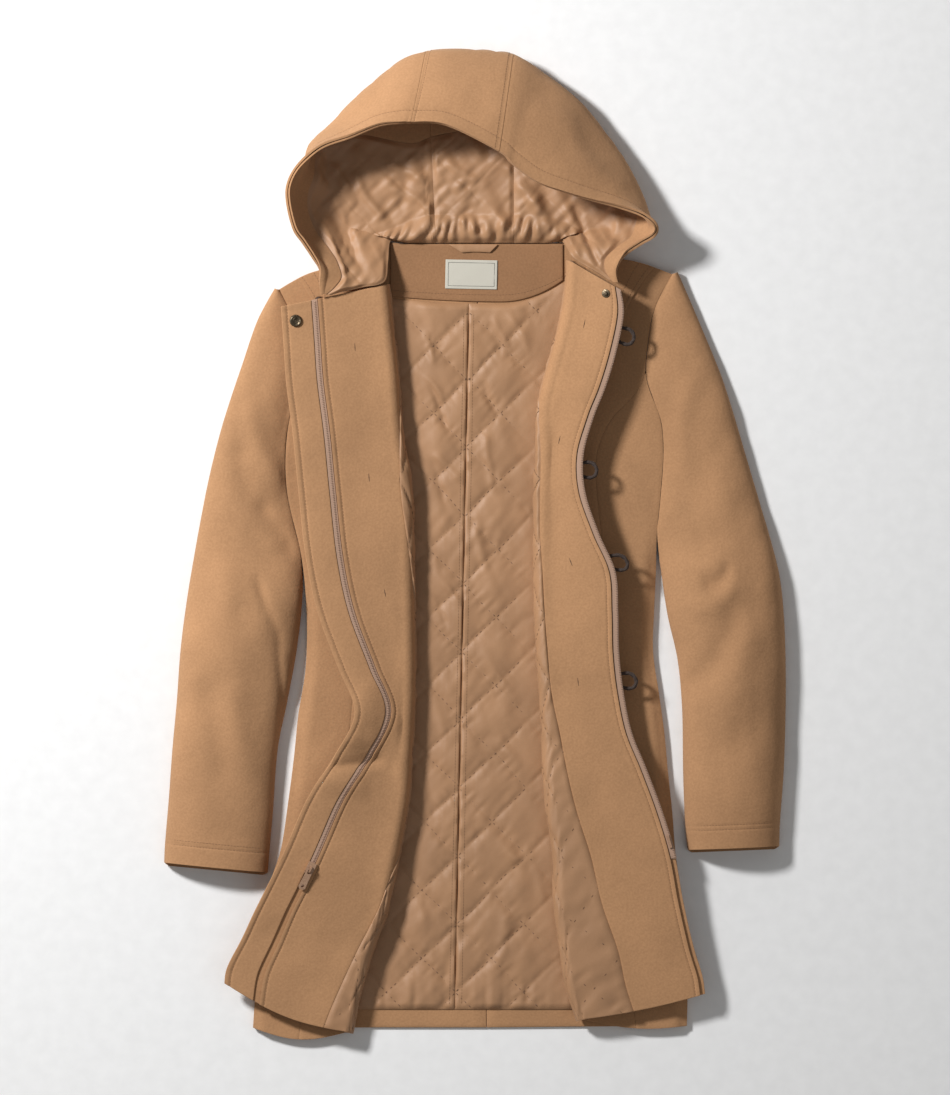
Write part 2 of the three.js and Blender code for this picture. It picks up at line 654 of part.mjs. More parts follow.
for (const rib of ribs) {
  const rim = new THREE.Vector3(rib.rimX, rib.rimY, rib.rimZ);
  const side = new THREE.Vector3(rib.sideX, rib.sideY, rib.sideZ);
  const neck = new THREE.Vector3(rib.neckX, rib.neckY, rib.neckZ);
  const crown = rim.clone().lerp(side, 0.5);
  crown.z += PUFF * Math.hypot(rim.x - side.x, rim.y - side.y);
  const tuck = side.clone().lerp(neck, TUCK_PLACE).setZ(rib.tuck);
  const floor = side.clone().lerp(neck, FLOOR_PLACE).setZ(rib.floor);
  rib.curve = new THREE.CatmullRomCurve3([rim, crown, side, tuck, floor, neck]);
  rib.length = rib.curve.getLength();
}

function hoodPoint(rib, path) {
  const t = THREE.MathUtils.clamp(path, 0, 1);
  const point = rib.curve.getPointAt(t);
  point.z = Math.max(point.z, FLAT);
  return point;
}

const facingPlace = (rib) => Math.min(MOST_FACING, rib.facing / rib.length);
const hoodFacingPaths = (rib) => spread(0, facingPlace(rib), 4);
const hoodLiningPaths = (rib) => spread(facingPlace(rib), 1, 8);
const hoodPaths = (rib) => [...hoodFacingPaths(rib), ...hoodLiningPaths(rib).slice(1)];

// Gathered roll of lining along the back neck
function neckRoll(rib, path, i) {
  const distance = (1 - path) * rib.length;
  const bump = Math.max(0, Math.sin((Math.PI * distance) / NECK_ROLL_WIDTH));
  const gather = i % 2 === 0 ? 1 : NECK_GATHER;
  return distance < NECK_ROLL_WIDTH && rib.floor < 2 ? NECK_ROLL * bump * gather : 0;
}

function hoodPanel(side, first, last) {
  const gussets = [first > 0 ? "first" : "", last < ribs.length - 1 ? "last" : ""];
  const hoodLayer = (name, paths, faces, color, seams = [], lift) => {
    const options = { first, last, lift, gap: HOOD_SEAM, seams: [...gussets, ...seams] };
    add(`${name}_${side}`, layer(hoodPoint, ribs, paths, faces, options), cloth(color));
  };
  hoodLayer("hood", hoodPaths, [-FLAT, FLAT], colors.wool);
  const inside = -FLAT - HOOD_GAP;
  hoodLayer("hood_facing", hoodFacingPaths, [inside, inside - FACING], colors.facing, ["end"]);
  const satin = [inside, inside - SATIN];
  hoodLayer("hood_lining", hoodLiningPaths, satin, colors.satin, ["start"], neckRoll);
}

hoodPanel("right", 0, RIGHT_GUSSET);
hoodPanel("centre", RIGHT_GUSSET, LEFT_GUSSET);
hoodPanel("left", LEFT_GUSSET, ribs.length - 1);

// Fastenings that sit on a front are placed in a frame of its inner face:
// x across, y along the edge towards the neck, z out of the cloth

function frontFrame(rows, i, distance, inner, height) {
  const path = fromFree(rows[i], distance);
  const at = (k, offset) => facePoint(frontPoint, rows, k, fromFree(rows[k], distance), offset);
  const origin = facePoint(frontPoint, rows, i, path, inner * height);
  const along = at(i - 1, 0).sub(at(i + 1, 0)).normalize();
  const out = origin.clone().sub(facePoint(frontPoint, rows, i, path, 0)).normalize();
  const across = along.clone().cross(out).normalize();
  return new THREE.Matrix4().makeBasis(across, out.clone().cross(across), out).setPosition(origin);
}

function placed(frame) {
  const group = new THREE.Group();
  group.applyMatrix4(frame);
  coat.add(group);
  return group;
}

function turned(profile) {
  const geometry = new THREE.LatheGeometry(profile.map(([x, y]) => new THREE.Vector2(x, y)), 16);
  return geometry.rotateX(Math.PI / 2);
}

// Snap fastener at the neck, a socket on the placket and a stud on the other facing
const SNAP_ROW = 1;
const SOCKET_INSIDE = 15;
const STUD_INSIDE = 18;
const ON_FACING = ON_WOOL + FACING + GAP;
const socket = placed(frontFrame(rightFront, SNAP_ROW, SOCKET_INSIDE, -1, ON_FACING));
const socketProfile = [[2.2, 0], [6.5, 0], [6.5, 1.4], [5.4, 2.4], [3.4, 2.4], [2.2, 1.6], [2.2, 0]];
add("snap_socket", turned(socketProfile), metal(colors.brass), socket);
const stud = placed(frontFrame(leftFront, SNAP_ROW, STUD_INSIDE, 1, ON_FACING));
const studProfile = [[0, 0], [4.5, 0], [4.5, 0.8], [2, 1.2], [2.2, 2.6], [1.4, 3.2], [0, 3.2]];
add("snap_stud", turned(studProfile), metal(colors.brass), stud);

// Zip: a pin at the foot of the left tape, and a slider with a hinged pull on the right one
const PIN_INSIDE = 2;
const ON_TAPE = ON_WOOL + TAPE_THICKNESS + GAP;
const pinFrame = placed(frontFrame(leftFront, lastLeftZipRow - 1, PIN_INSIDE, 1, ON_TAPE));
const pin = add("zip_pin", new THREE.BoxGeometry(3, 14, 2), cloth(colors.zip), pinFrame);
pin.position.set(0, -8, 1);

const SLIDER_WIDTH = 9;
const SLIDER_TOP = 3.2;
const AXIS_RISE = 1.35;
const AXIS_Y = -1;
const CROWN_WIDTH = 1.6;
const CROWN_REACH = 3.6;
const CROWN_BAR = 1.2;
const PULL_DROOP = 0.1;
const PULL_LENGTH = 24;
const PULL_THICKNESS = 1.5;

const wasm = await Module();
wasm.setup();

function manifoldOf(geometry) {
  const bare = geometry.clone();
  bare.deleteAttribute("normal");
  bare.deleteAttribute("uv");
  const merged = mergeVertices(bare, 1e-4);
  const vertProperties = new Float32Array(merged.getAttribute("position").array);
  const triVerts = new Uint32Array(merged.getIndex().array);
  return new wasm.Manifold(new wasm.Mesh({ numProp: 3, vertProperties, triVerts }));
}

function joined(first, second) {
  const mesh = manifoldOf(first).add(manifoldOf(second)).getMesh();
  const geometry = new THREE.BufferGeometry();
  geometry.setAttribute("position", new THREE.BufferAttribute(mesh.vertProperties, 3));
  geometry.setIndex(new THREE.BufferAttribute(mesh.triVerts, 1));
  return geometry;
}

// Side profile in y and z, drawn out across the zip
function sideProfile(outline, width, hole) {
  const geometry = plate(outline, width, hole);
  geometry.translate(0, 0, -width / 2);
  const turn = new THREE.Matrix4().set(0, 0, 1, 0, 1, 0, 0, 0, 0, 1, 0, 0, 0, 0, 0, 1);
  return geometry.applyMatrix4(turn);
}

const AXIS_Z = SLIDER_TOP + AXIS_RISE;
const crownTop = AXIS_Z + AXIS_RISE + CROWN_BAR;
const crownFoot = SLIDER_TOP - 2;
const bodyOutline = [[-7, 0], [7, 0], [7, 2.2], [5, SLIDER_TOP], [-3, SLIDER_TOP], [-7, 1.7]];
const [crownBack, crownFront] = [AXIS_Y - CROWN_REACH, AXIS_Y + CROWN_REACH];
const crownOutline = [
  [crownBack, crownFoot], [crownFront, crownFoot], [crownFront, crownTop - 1],
  [crownFront - 1, crownTop], [crownBack + 1, crownTop], [crownBack, crownTop - 1],
];
const windowBack = crownBack + 1.6;
const windowFront = crownFront - 1.6;
const crownWindow = [
  [windowBack, SLIDER_TOP - 0.4], [windowFront, SLIDER_TOP - 0.4],
  [windowFront, crownTop - CROWN_BAR], [windowBack, crownTop - CROWN_BAR],
];

const SLIDER_ROW = 23;
const sliderInside = PLACKET_WIDTH + TAPE_WIDTH / 2;
const slider = placed(frontFrame(rightFront, SLIDER_ROW, sliderInside, -1, ON_FACING));
const sliderBody = sideProfile(bodyOutline, SLIDER_WIDTH);
const crown = sideProfile(crownOutline, CROWN_WIDTH, crownWindow);
add("zip_slider", joined(sliderBody, crown), cloth(colors.zip), slider);

const pullOutline = [
  [-3.5, 0.7], [-3.5, -8], [-4, -PULL_LENGTH + 2], [-2, -PULL_LENGTH],
  [2, -PULL_LENGTH], [4, -PULL_LENGTH + 2], [3.5, -8], [3.5, 0.7],
];
const pullWindow = [[-1.6, -0.7], [-1.6, -5.2], [1.6, -5.2], [1.6, -0.7]];
const pullShape = new THREE.Shape(pullOutline.map(([x, y]) => new THREE.Vector2(x, y)));
pullShape.holes.push(new THREE.Path(pullWindow.map(([x, y]) => new THREE.Vector2(x, y))));
const pullHole = new THREE.Path();
pullHole.absarc(0, -PULL_LENGTH + 4, 1.8, 0, 2 * Math.PI, true);
pullShape.holes.push(pullHole);
const pullOptions = { depth: PULL_THICKNESS, bevelEnabled: false, curveSegments: 5 };
const pullGeometry = new THREE.ExtrudeGeometry(pullShape, pullOptions).translate(0, 0, -PULL_THICKNESS / 2);
const pull = add("zip_pull", pullGeometry, cloth(colors.zip), slider);
pull.position.set(0, AXIS_Y, AXIS_Z);
pull.rotation.x = PULL_DROOP;

// Cord loops under the free edge of the left front, each a closed ring that reaches past the edge
const CORD_RADIUS = 2;
const LOOP_RADIUS = 8.5;
const LOOP_INSIDE = 8;

const loops = table("row shift", [[3, 0], [11, 4], [16, 10], [22, 12]]);

function cordRing(name, points, radius, segments) {
  const curve = new THREE.CatmullRomCurve3(points, true);
  add(name, new THREE.TubeGeometry(curve, segments, radius, 6, true), cloth(colors.cord));
}

loops.forEach(({ row, shift }, k) => {
  const along = frontPoint(leftFront[row - 1], 3).sub(frontPoint(leftFront[row + 1], 3)).normalize();
  const points = spread(0, 2 * Math.PI, 12).slice(0, -1).map((angle) => {
    const tail = LOOP_INSIDE * Math.max(0, -Math.cos(angle));
    const inside = tail - LOOP_RADIUS * (1 + Math.cos(angle));
    const path = fromFree(leftFront[row], inside);
    const under = -(FLAT + GAP + CORD_RADIUS);
    const point = facePoint(frontPoint, leftFront, row, path, under);
    return point.addScaledVector(along, shift + LOOP_RADIUS * Math.sin(angle));
  });
  cordRing(`cord_loop_${k + 1}`, points, CORD_RADIUS, 16);
});

// Toggles on the right front, between its lower and its folded-back leg
const TOGGLE_RADIUS = 6.5;
const TOGGLE_WAIST = 5;
const TOGGLE_LENGTH = 45;
const TOGGLE_CORD = 1.5;
const TOGGLE_INSIDE = 42;
const toggleRows = [1, 7, 10, 14];
const toggleRing = TOGGLE_WAIST + GAP + TOGGLE_CORD;
const toggleZ = FRONT_LOW + ON_WOOL + FACING + GAP + TOGGLE_CORD + toggleRing;

const toggleProfile = [
  [0, -0.5], [3.5, -0.5], [5, -0.46], [TOGGLE_RADIUS, -0.2], [TOGGLE_WAIST, -0.06],
  [TOGGLE_WAIST, 0.06], [TOGGLE_RADIUS, 0.2], [5, 0.46], [3.5, 0.5], [0, 0.5],
].map(([radius, place]) => new THREE.Vector2(radius, place * TOGGLE_LENGTH));

toggleRows.forEach((row, k) => {
  const under = facePoint(frontPoint, rightFront, row, fromFree(rightFront[row], TOGGLE_INSIDE), FLAT);
  const toggle = add(`toggle_${k + 1}`, new THREE.LatheGeometry(toggleProfile, 8), cloth(colors.horn));
  toggle.position.set(under.x, under.y, toggleZ);
  const top = (under.z - toggleZ - 2 * GAP - TOGGLE_CORD) / toggleRing;
  const outline = [
    [0, -1], [0.71, -0.71], [1, 0], [0.8, 0.9],
    [0, top], [-0.8, 0.9], [-1, 0], [-0.71, -0.71],
  ];
  const points = outline.map(([x, z]) => {
    return new THREE.Vector3(x, 0, z).multiplyScalar(toggleRing).add(toggle.position);
  });
  cordRing(`toggle_cord_${k + 1}`, points, TOGGLE_CORD, 12);
});

export default coat;
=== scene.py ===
import math

import bpy
import numpy as np
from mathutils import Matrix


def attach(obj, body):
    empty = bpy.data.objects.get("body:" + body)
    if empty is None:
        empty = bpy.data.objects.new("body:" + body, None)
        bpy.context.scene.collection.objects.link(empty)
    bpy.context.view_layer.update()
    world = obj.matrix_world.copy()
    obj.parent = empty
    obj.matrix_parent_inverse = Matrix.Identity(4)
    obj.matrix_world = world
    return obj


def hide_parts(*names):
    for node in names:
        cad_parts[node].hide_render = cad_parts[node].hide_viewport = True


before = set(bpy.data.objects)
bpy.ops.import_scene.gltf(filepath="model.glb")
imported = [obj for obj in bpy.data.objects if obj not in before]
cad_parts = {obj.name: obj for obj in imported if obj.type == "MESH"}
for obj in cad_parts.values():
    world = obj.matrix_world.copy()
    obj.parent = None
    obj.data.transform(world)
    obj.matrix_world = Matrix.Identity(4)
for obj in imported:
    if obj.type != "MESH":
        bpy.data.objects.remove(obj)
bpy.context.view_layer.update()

bpy.ops.object.select_all(action="DESELECT")
mm = 0.001

# Camera and light: straight above, with the key light from the upper left

camera = {"height": 12.0, "centre": (0.0011, -0.00055), "frame": 1.2045, "plane": 0.012}
bpy.ops.object.camera_add(location=(*camera["centre"], camera["height"]))
bpy.context.scene.camera = bpy.context.object
bpy.context.object.data.lens = 36 * (camera["height"] - camera["plane"]) / camera["frame"]
bpy.context.object.data.clip_end = 60

bpy.context.scene.view_settings.view_transform = "Standard"
key = {"toLight": (-0.81, 0.58, 0.80), "distance": 3.0, "size": 0.42, "power": 110}
fill = {"toLight": (0.5, -0.35, 0.9), "distance": 3.4, "size": 2.6, "power": 8}


def addLight(name, light):
    towards = np.array(light["toLight"])
    towards = towards / np.linalg.norm(towards)
    place = towards * light["distance"]
    bpy.ops.object.light_add(type="AREA", location=place.tolist())
    lamp = bpy.context.object
    lamp.name = name
    lamp.data.size = light["size"]
    lamp.data.energy = light["power"]
    tilt = math.acos(towards[2])
    turn = math.atan2(towards[1], towards[0]) + math.pi / 2
    lamp.rotation_euler = (tilt, 0, turn)


addLight("keyLight", key)
addLight("fillLight", fill)
world = bpy.data.worlds.new("studio")
bpy.context.scene.world = world
world.use_nodes = True
world.node_tree.nodes["Background"].inputs["Color"].default_value = (1.0, 0.99, 0.975, 1)
world.node_tree.nodes["Background"].inputs["Strength"].default_value = 0.2
print("camera and light are set")

# Materials


def startMaterial(name):
    material = bpy.data.materials.new(name)
    material.use_nodes = True
    tree = material.node_tree
    shader = tree.nodes["Principled BSDF"]

    def node(kind, inputs=(), **settings):
        made = tree.nodes.new(kind)
        for setting, value in settings.items():
            setattr(made, setting, value)
        for socket, value in dict(inputs).items():
            if isinstance(value, bpy.types.NodeSocket):
                tree.links.new(value, made.inputs[socket])
            else:
                made.inputs[socket].default_value = value
        return made

    return material, shader, node, tree.links.new


def setLook(shader, values):
    for socket, value in values.items():
        shader.inputs[socket].default_value = value


def colourRamp(node, source, stops):
    ramp = node("ShaderNodeValToRGB", {"Fac": source})
    elements = ramp.color_ramp.elements
    for k, (place, colour) in enumerate(stops):
        element = elements[k] if k < 2 else elements.new(place)
        element.position = place
        element.color = (*colour, 1)
    return ramp.outputs["Color"]


def woolMaterial(name, tone, nap):
    material, shader, node, link = startMaterial(name)
    place = node("ShaderNodeTexCoord").outputs["Object"]
    broad = node("ShaderNodeTexNoise", {"Vector": place, "Scale": 13, "Detail": 3}).outputs["Fac"]
    fleck = node("ShaderNodeTexNoise", {"Vector": place, "Scale": 420, "Detail": 3}).outputs["Fac"]
    cloud = node("ShaderNodeTexNoise", {"Vector": place, "Scale": 95, "Detail": 2}).outputs["Fac"]
    base = np.array(tone)
    broadTone = colourRamp(node, broad, [(0.3, base * 0.9), (0.7, base * 1.07)])
    fleckTone = colourRamp(node, fleck, [(0.34, (0.93, 0.92, 0.91)), (0.66, (1.05, 1.05, 1.05))])
    both = node("ShaderNodeMix", {0: 1.0, 6: broadTone, 7: fleckTone},
                data_type="RGBA", blend_type="MULTIPLY")
    link(both.outputs[2], shader.inputs["Base Color"])
    fine = node("ShaderNodeBump", {"Height": fleck, "Strength": 0.4, "Distance": nap})
    soft = node("ShaderNodeBump", {"Height": cloud, "Strength": 0.3, "Distance": nap * 2.4,
                                   "Normal": fine.outputs["Normal"]})
    link(soft.outputs["Normal"], shader.inputs["Normal"])
    setLook(shader, {"Roughness": 0.96, "Specular IOR Level": 0.18, "Sheen Weight": 0.12,
                     "Sheen Roughness": 0.55, "Sheen Tint": (1.0, 0.86, 0.68, 1)})
    return material


def satinMaterial(name, tone):
    material, shader, node, link = startMaterial(name)
    place = node("ShaderNodeTexCoord")
    broad = node("ShaderNodeTexNoise", {"Vector": place.outputs["Object"], "Scale": 22, "Detail": 2})
    base = np.array(tone)
    link(colourRamp(node, broad.outputs["Fac"], [(0.3, base * 0.92), (0.7, base * 1.06)]),
         shader.inputs["Base Color"])
    weave = node("ShaderNodeTexWave", {"Vector": place.outputs["UV"], "Scale": 620, "Distortion": 1.2},
                 bands_direction="Y")
    crumple = node("ShaderNodeTexNoise", {"Vector": place.outputs["Object"], "Scale": 75, "Detail": 3,
                                          "Distortion": 0.6})
    creases = node("ShaderNodeBump", {"Height": crumple.outputs["Fac"], "Strength": 0.12, "Distance": 0.002})
    bump = node("ShaderNodeBump", {"Height": weave.outputs["Fac"], "Strength": 0.16, "Distance": 0.00025,
                                   "Normal": creases.outputs["Normal"]})
    link(bump.outputs["Normal"], shader.inputs["Normal"])
    setLook(shader, {"Roughness": 0.5, "Specular IOR Level": 0.42, "Sheen Weight": 0.15,
                     "Sheen Roughness": 0.35, "Sheen Tint": (1.0, 0.84, 0.68, 1)})
    return material


def wovenMaterial(name, tone, scale, depth, roughness=0.8):
    material, shader, node, link = startMaterial(name)
    place = node("ShaderNodeTexCoord")
    across = node("ShaderNodeTexWave", {"Vector": place.outputs["UV"], "Scale": scale}, bands_direction="X")
    along = node("ShaderNodeTexWave", {"Vector": place.outputs["UV"], "Scale": scale}, bands_direction="Y")
    threads = node("ShaderNodeMath", {0: across.outputs["Fac"], 1: along.outputs["Fac"]},
                   operation="MULTIPLY")
    base = np.array(tone)
    link(colourRamp(node, threads.outputs[0], [(0.0, base * 0.74), (0.7, base * 1.08)]),
         shader.inputs["Base Color"])
    bump = node("ShaderNodeBump", {"Height": threads.outputs[0], "Strength": 0.5, "Distance": depth})
    link(bump.outputs["Normal"], shader.inputs["Normal"])
    setLook(shader, {"Roughness": roughness, "Sheen Weight": 0.1})
    return material


def hardMaterial(name, tone, dark, metallic, roughness, grain):
    material, shader, node, link = startMaterial(name)
    place = node("ShaderNodeTexCoord").outputs["Object"]
    patches = node("ShaderNodeTexNoise", {"Vector": place, "Scale": grain, "Detail": 4}).outputs["Fac"]
    link(colourRamp(node, patches, [(0.36, dark), (0.62, tone)]), shader.inputs["Base Color"])
    gloss = colourRamp(node, patches, [(0.3, (roughness * 1.5,) * 3), (0.7, (roughness * 0.8,) * 3)])
    link(gloss, shader.inputs["Roughness"])
    bump = node("ShaderNodeBump", {"Height": patches, "Strength": 0.2, "Distance": 0.0002})
    link(bump.outputs["Normal"], shader.inputs["Normal"])
    setLook(shader, {"Metallic": metallic})
    return material


def hornMaterial():
    material, shader, node, link = startMaterial("horn")
    place = node("ShaderNodeTexCoord").outputs["Object"]
    stretched = node("ShaderNodeMapping", {"Vector": place, "Scale": (260, 30, 260)})
    streaks = node("ShaderNodeTexNoise", {"Vector": stretched.outputs[0], "Scale": 1, "Detail": 3})
    tones = [(0.35, (0.016, 0.008, 0.005)), (0.6, (0.07, 0.032, 0.015)), (0.75, (0.2, 0.11, 0.05))]
    link(colourRamp(node, streaks.outputs["Fac"], tones), shader.inputs["Base Color"])
    setLook(shader, {"Roughness": 0.28, "Coat Weight": 0.3})
    return material


wool = woolMaterial("camelWool", (0.43, 0.234, 0.117), 0.0006)
facingWool = woolMaterial("camelFacing", (0.437, 0.238, 0.119), 0.0005)
# Back neck facing wool at about 0.72 of the wool tone: painted shade for the hood's shadow and the occlusion over
# the neck
neckWoolPaintedShade = woolMaterial("camelNeckFacingPaintedShade", (0.315, 0.165, 0.082), 0.0005)
satin = satinMaterial("tanSatin", (0.40, 0.218, 0.112))
tape = wovenMaterial("zipTape", (0.50, 0.32, 0.225), 330, 0.0003)
thread = wovenMaterial("sewingThread", (0.27, 0.14, 0.065), 900, 0.0001)
labelCloth = wovenMaterial("labelCloth", (0.66, 0.63, 0.54), 420, 0.0002)
labelThread = wovenMaterial("labelThread", (0.2, 0.2, 0.17), 420, 0.0002)
cordCloth = wovenMaterial("darkCord", (0.046, 0.025, 0.017), 260, 0.0004, 0.6)
# Quilting thread: a real dark thread, made darker still as painted shade for the quilting valleys that the light
# leaves unshaded
quiltThreadAndValleyShade = wovenMaterial("quiltThreadAndValleyShade", (0.2, 0.1, 0.05), 900, 0.0001)
slitThread = wovenMaterial("slitThread", (0.1, 0.05, 0.022), 700, 0.0001)
brass = hardMaterial("antiqueBrass", (0.22, 0.17, 0.11), (0.04, 0.03, 0.02), 0.95, 0.42, 900)
tanMetal = hardMaterial("tanMetal", (0.47, 0.29, 0.185), (0.36, 0.21, 0.13), 0.25, 0.42, 700)
horn = hornMaterial()
print("materials are ready")

# Cloth sheets: a grid primitive takes the points of a surface, then its thickness and rolled edges


def unit(vectors):
    return vectors / np.maximum(np.linalg.norm(vectors, axis=-1, keepdims=True), 1e-9)


def normalsOf(points):
    down = np.gradient(points, axis=0)
    across = np.gradient(points, axis=1)
    return unit(np.cross(down, across))


def offsetBy(points, distance):
    return points + normalsOf(points) * np.asarray(distance)[..., None]


def arcLengths(points, axis):
    steps = np.linalg.norm(np.diff(points, axis=axis), axis=-1)
    return np.cumsum(np.insert(steps, 0, 0, axis=axis), axis=axis)


# Edges drawn back in millimetres: first and last row, first and last column
def drawBack(points, gaps):
    result = points.copy()
    for edge, gap in gaps.items():
        view = result if edge in ("first", "last") else result.transpose(1, 0, 2)
        here, next_ = (0, 1) if edge in ("first", "start") else (-1, -2)
        view[here] += unit(view[next_] - view[here]) * gap
    return result


def nameOnly(obj, name):
    obj.name = name
    obj.data.name = name


# points are rows and columns in millimetres at the middle of the cloth
def flatSheet(name, points, thickness, material, nodes, roll=0.35):
    rows, columns = points.shape[:2]
    bpy.ops.object.select_all(action="DESELECT")
    bpy.ops.mesh.primitive_grid_add(x_subdivisions=columns - 1, y_subdivisions=rows - 1, size=2)
    piece = bpy.context.object
    nameOnly(piece, name)
    flat = np.empty(len(piece.data.vertices) * 3)
    piece.data.vertices.foreach_get("co", flat)
    flat = flat.reshape(-1, 3)
    j = np.rint((flat[:, 0] + 1) / 2 * (columns - 1)).astype(int)
    i = np.rint((1 - flat[:, 1]) / 2 * (rows - 1)).astype(int)
    piece.data.vertices.foreach_set("co", (points[i, j] * mm).ravel())
    lengths = np.stack([arcLengths(points, 1), arcLengths(points, 0)], -1) * mm
    corner = np.empty(len(piece.data.loops), int)
    piece.data.loops.foreach_get("vertex_index", corner)
    piece.data.uv_layers[0].data.foreach_set("uv", lengths[i[corner], j[corner]].ravel())
    piece.data.update()
    wall = piece.modifiers.new("wall", "SOLIDIFY")
    wall.thickness = thickness * mm
    wall.offset = 0
    edge = piece.modifiers.new("edge", "BEVEL")
    edge.width = thickness * roll * mm
    edge.segments = 2
    edge.limit_method = "ANGLE"
    edge.angle_limit = math.radians(62)
    for modifier in ("wall", "edge"):
        bpy.ops.object.modifier_apply(modifier=modifier)
    bpy.ops.object.shade_smooth_by_angle(angle=math.radians(60))
    return finishPiece(piece, material, nodes)


def finishPiece(piece, material, nodes=()):
    piece.data.materials.clear()
    piece.data.materials.append(material)
    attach(piece, "coat")
    if nodes:
        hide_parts(*nodes)
    return piece


def clothPiece(name, points, thickness, material, nodes, roll=0.35):
    piece = flatSheet(name, points, thickness, material, nodes, roll)
    return piece


# A mesh from points and faces, with its normals turned out
def meshObject(name, points, faces, merge=False):
    mesh = bpy.data.meshes.new(name)
    mesh.from_pydata((points * mm).tolist(), [], faces)
    mesh.uv_layers.new(name="UVMap")
    piece = bpy.data.objects.new(name, mesh)
    bpy.context.scene.collection.objects.link(piece)
    bpy.ops.object.select_all(action="DESELECT")
    piece.select_set(True)
    bpy.context.view_layer.objects.active = piece
    bpy.ops.object.mode_set(mode="EDIT")
    bpy.ops.mesh.select_all(action="SELECT")
    if merge:
        bpy.ops.mesh.remove_doubles(threshold=1e-6)
    bpy.ops.mesh.normals_make_consistent(inside=False)
    bpy.ops.object.mode_set(mode="OBJECT")
    return piece


# Stitches: one small rounded bar, copied along runs of points


def barMesh(width, height):
    rings = [(-0.5, 0.3), (0, 1.0), (0.5, 0.3)]
    corners = [(-1, 0), (0, 1), (1, 0), (0, -1)]
    points = [(x * width / 2 * size, along, z * height / 2 * size)
              for along, size in rings for x, z in corners]
    faces = [(0, 1, 2, 3), (8, 11, 10, 9)]
    for ring in range(2):
        for k in range(4):
            a, b = ring * 4 + k, ring * 4 + (k + 1) % 4
            faces.append((a, a + 4, b + 4, b))
    return np.array(points), faces


# A rounded bar at each place, laid along one direction with its back turned out
def barsAt(name, places, along, out, lengths, width, height, material):
    template, faces = barMesh(width, height)
    along = unit(along)
    side = unit(np.cross(along, out))
    up = np.cross(side, along)
    points = (places[:, None] + template[None, :, 0:1] * side[:, None]
              + template[None, :, 1:2] * (along * np.asarray(lengths)[:, None])[:, None]
              + template[None, :, 2:3] * up[:, None])
    count = len(template)
    allFaces = [tuple(v + k * count for v in face) for k in range(len(places)) for face in faces]
    piece = meshObject(name, points.reshape(-1, 3), allFaces)
    corner = np.empty(len(piece.data.loops), int)
    piece.data.loops.foreach_get("vertex_index", corner)
    uv = np.tile(template[:, :2], (len(places), 1))[corner] * mm
    piece.data.uv_layers[0].data.foreach_set("uv", uv.ravel())
    bpy.ops.object.shade_smooth()
    return finishPiece(piece, material)


stitch = {"pitch": 3.4, "length": 2.5, "width": 0.55, "height": 0.5, "sunk": 0.1}
runs = []


def upwards(points):
    return np.tile((0.0, 0.0, 1.0), (len(points), 1))


# Points or directions at distances along a line with these lengths
def alongLine(values, lengths, where):
    return np.stack([np.interp(where, lengths, values[:, k]) for k in range(3)], -1)


# Stitches spaced along a line of surface points, kept until all are made as one piece
def addRun(points, normals):
    lengths = arcLengths(points, 0)
    count = int(lengths[-1] // stitch["pitch"])
    spots = (np.arange(count) + 0.5) * stitch["pitch"]
    here = alongLine(points, lengths, spots)
    ahead = alongLine(points, lengths, spots + 0.5) - alongLine(points, lengths, spots - 0.5)
    out = unit(alongLine(normals, lengths, spots))
    runs.append((here + out * (stitch["height"] * 0.5 - stitch["sunk"]), ahead, out))


# Tables and curves


def readTable(names, rows):
    return {name: np.array([row[k] for row in rows], float) for k, name in enumerate(names.split())}


def rowsAt(table, places):
    count = len(next(iter(table.values())))
    index = np.minimum(np.floor(places).astype(int), count - 2)
    t = places - index
    result = {}
    for name, values in table.items():
        a, b = values[np.maximum(index - 1, 0)], values[index]
        c, d = values[index + 1], values[np.minimum(index + 2, count - 1)]
        bend = 2 * a - 5 * b + 4 * c - d
        twist = 3 * b - a - 3 * c + d
        result[name] = (b + 0.5 * t * (c - a + t * (bend + t * twist)))[:, None]
    return result


def partOf(row, where):
    return {name: values[where] for name, values in row.items()}


def mix(a, b, t):
    return a + (b - a) * t


def smooth(t):
    t = np.clip(t, 0, 1)
    return t * t * (3 - 2 * t)


# Places between knots, which may be columns of numbers; counts are the steps of each stretch
def spreadBetween(knots, counts):
    parts = []
    for k, count in enumerate(counts):
        t = np.linspace(0, 1, count + 1)[None, (1 if k else 0):]
        parts.append(mix(np.atleast_2d(knots[k]), np.atleast_2d(knots[k + 1]), t))
    rows = max(part.shape[0] for part in parts)
    return np.concatenate([np.broadcast_to(part, (rows, part.shape[1])) for part in parts], 1)


# Smooth random height from -1 to 1 on a lattice one unit wide
def noiseAt(x, y, seed):
    grid = np.random.default_rng(seed).uniform(-1, 1, (64, 64))
    xi, yi = np.floor(x).astype(int), np.floor(y).astype(int)
    u, v = smooth(x - xi), smooth(y - yi)
    pick = lambda i, j: grid[i % 64, j % 64]
    return mix(mix(pick(xi, yi), pick(xi + 1, yi), u), mix(pick(xi, yi + 1), pick(xi + 1, yi + 1), u), v)


# Soft ridges (+) and troughs (-): x0 y0 x1 y1 width height, in millimetres
def creasesAt(x, y, creases):
    height = np.zeros(np.broadcast(x, y).shape)
    for x0, y0, x1, y1, width, amount in creases:
        length = math.hypot(x1 - x0, y1 - y0)
        ux, uy = (x1 - x0) / length, (y1 - y0) / length
        along = ((x - x0) * ux + (y - y0) * uy) / length
        bend = width * 0.5 * np.sin(along * 4 + x0 * 0.05)
        away = (x - x0) * -uy + (y - y0) * ux + bend
        ends = smooth((along + 0.12) / 0.3) * smooth((1.12 - along) / 0.3)
        height += amount * ends * np.exp(-(away / width) ** 2)
    return height


# Sizes shared by the cloth pieces, in millimetres

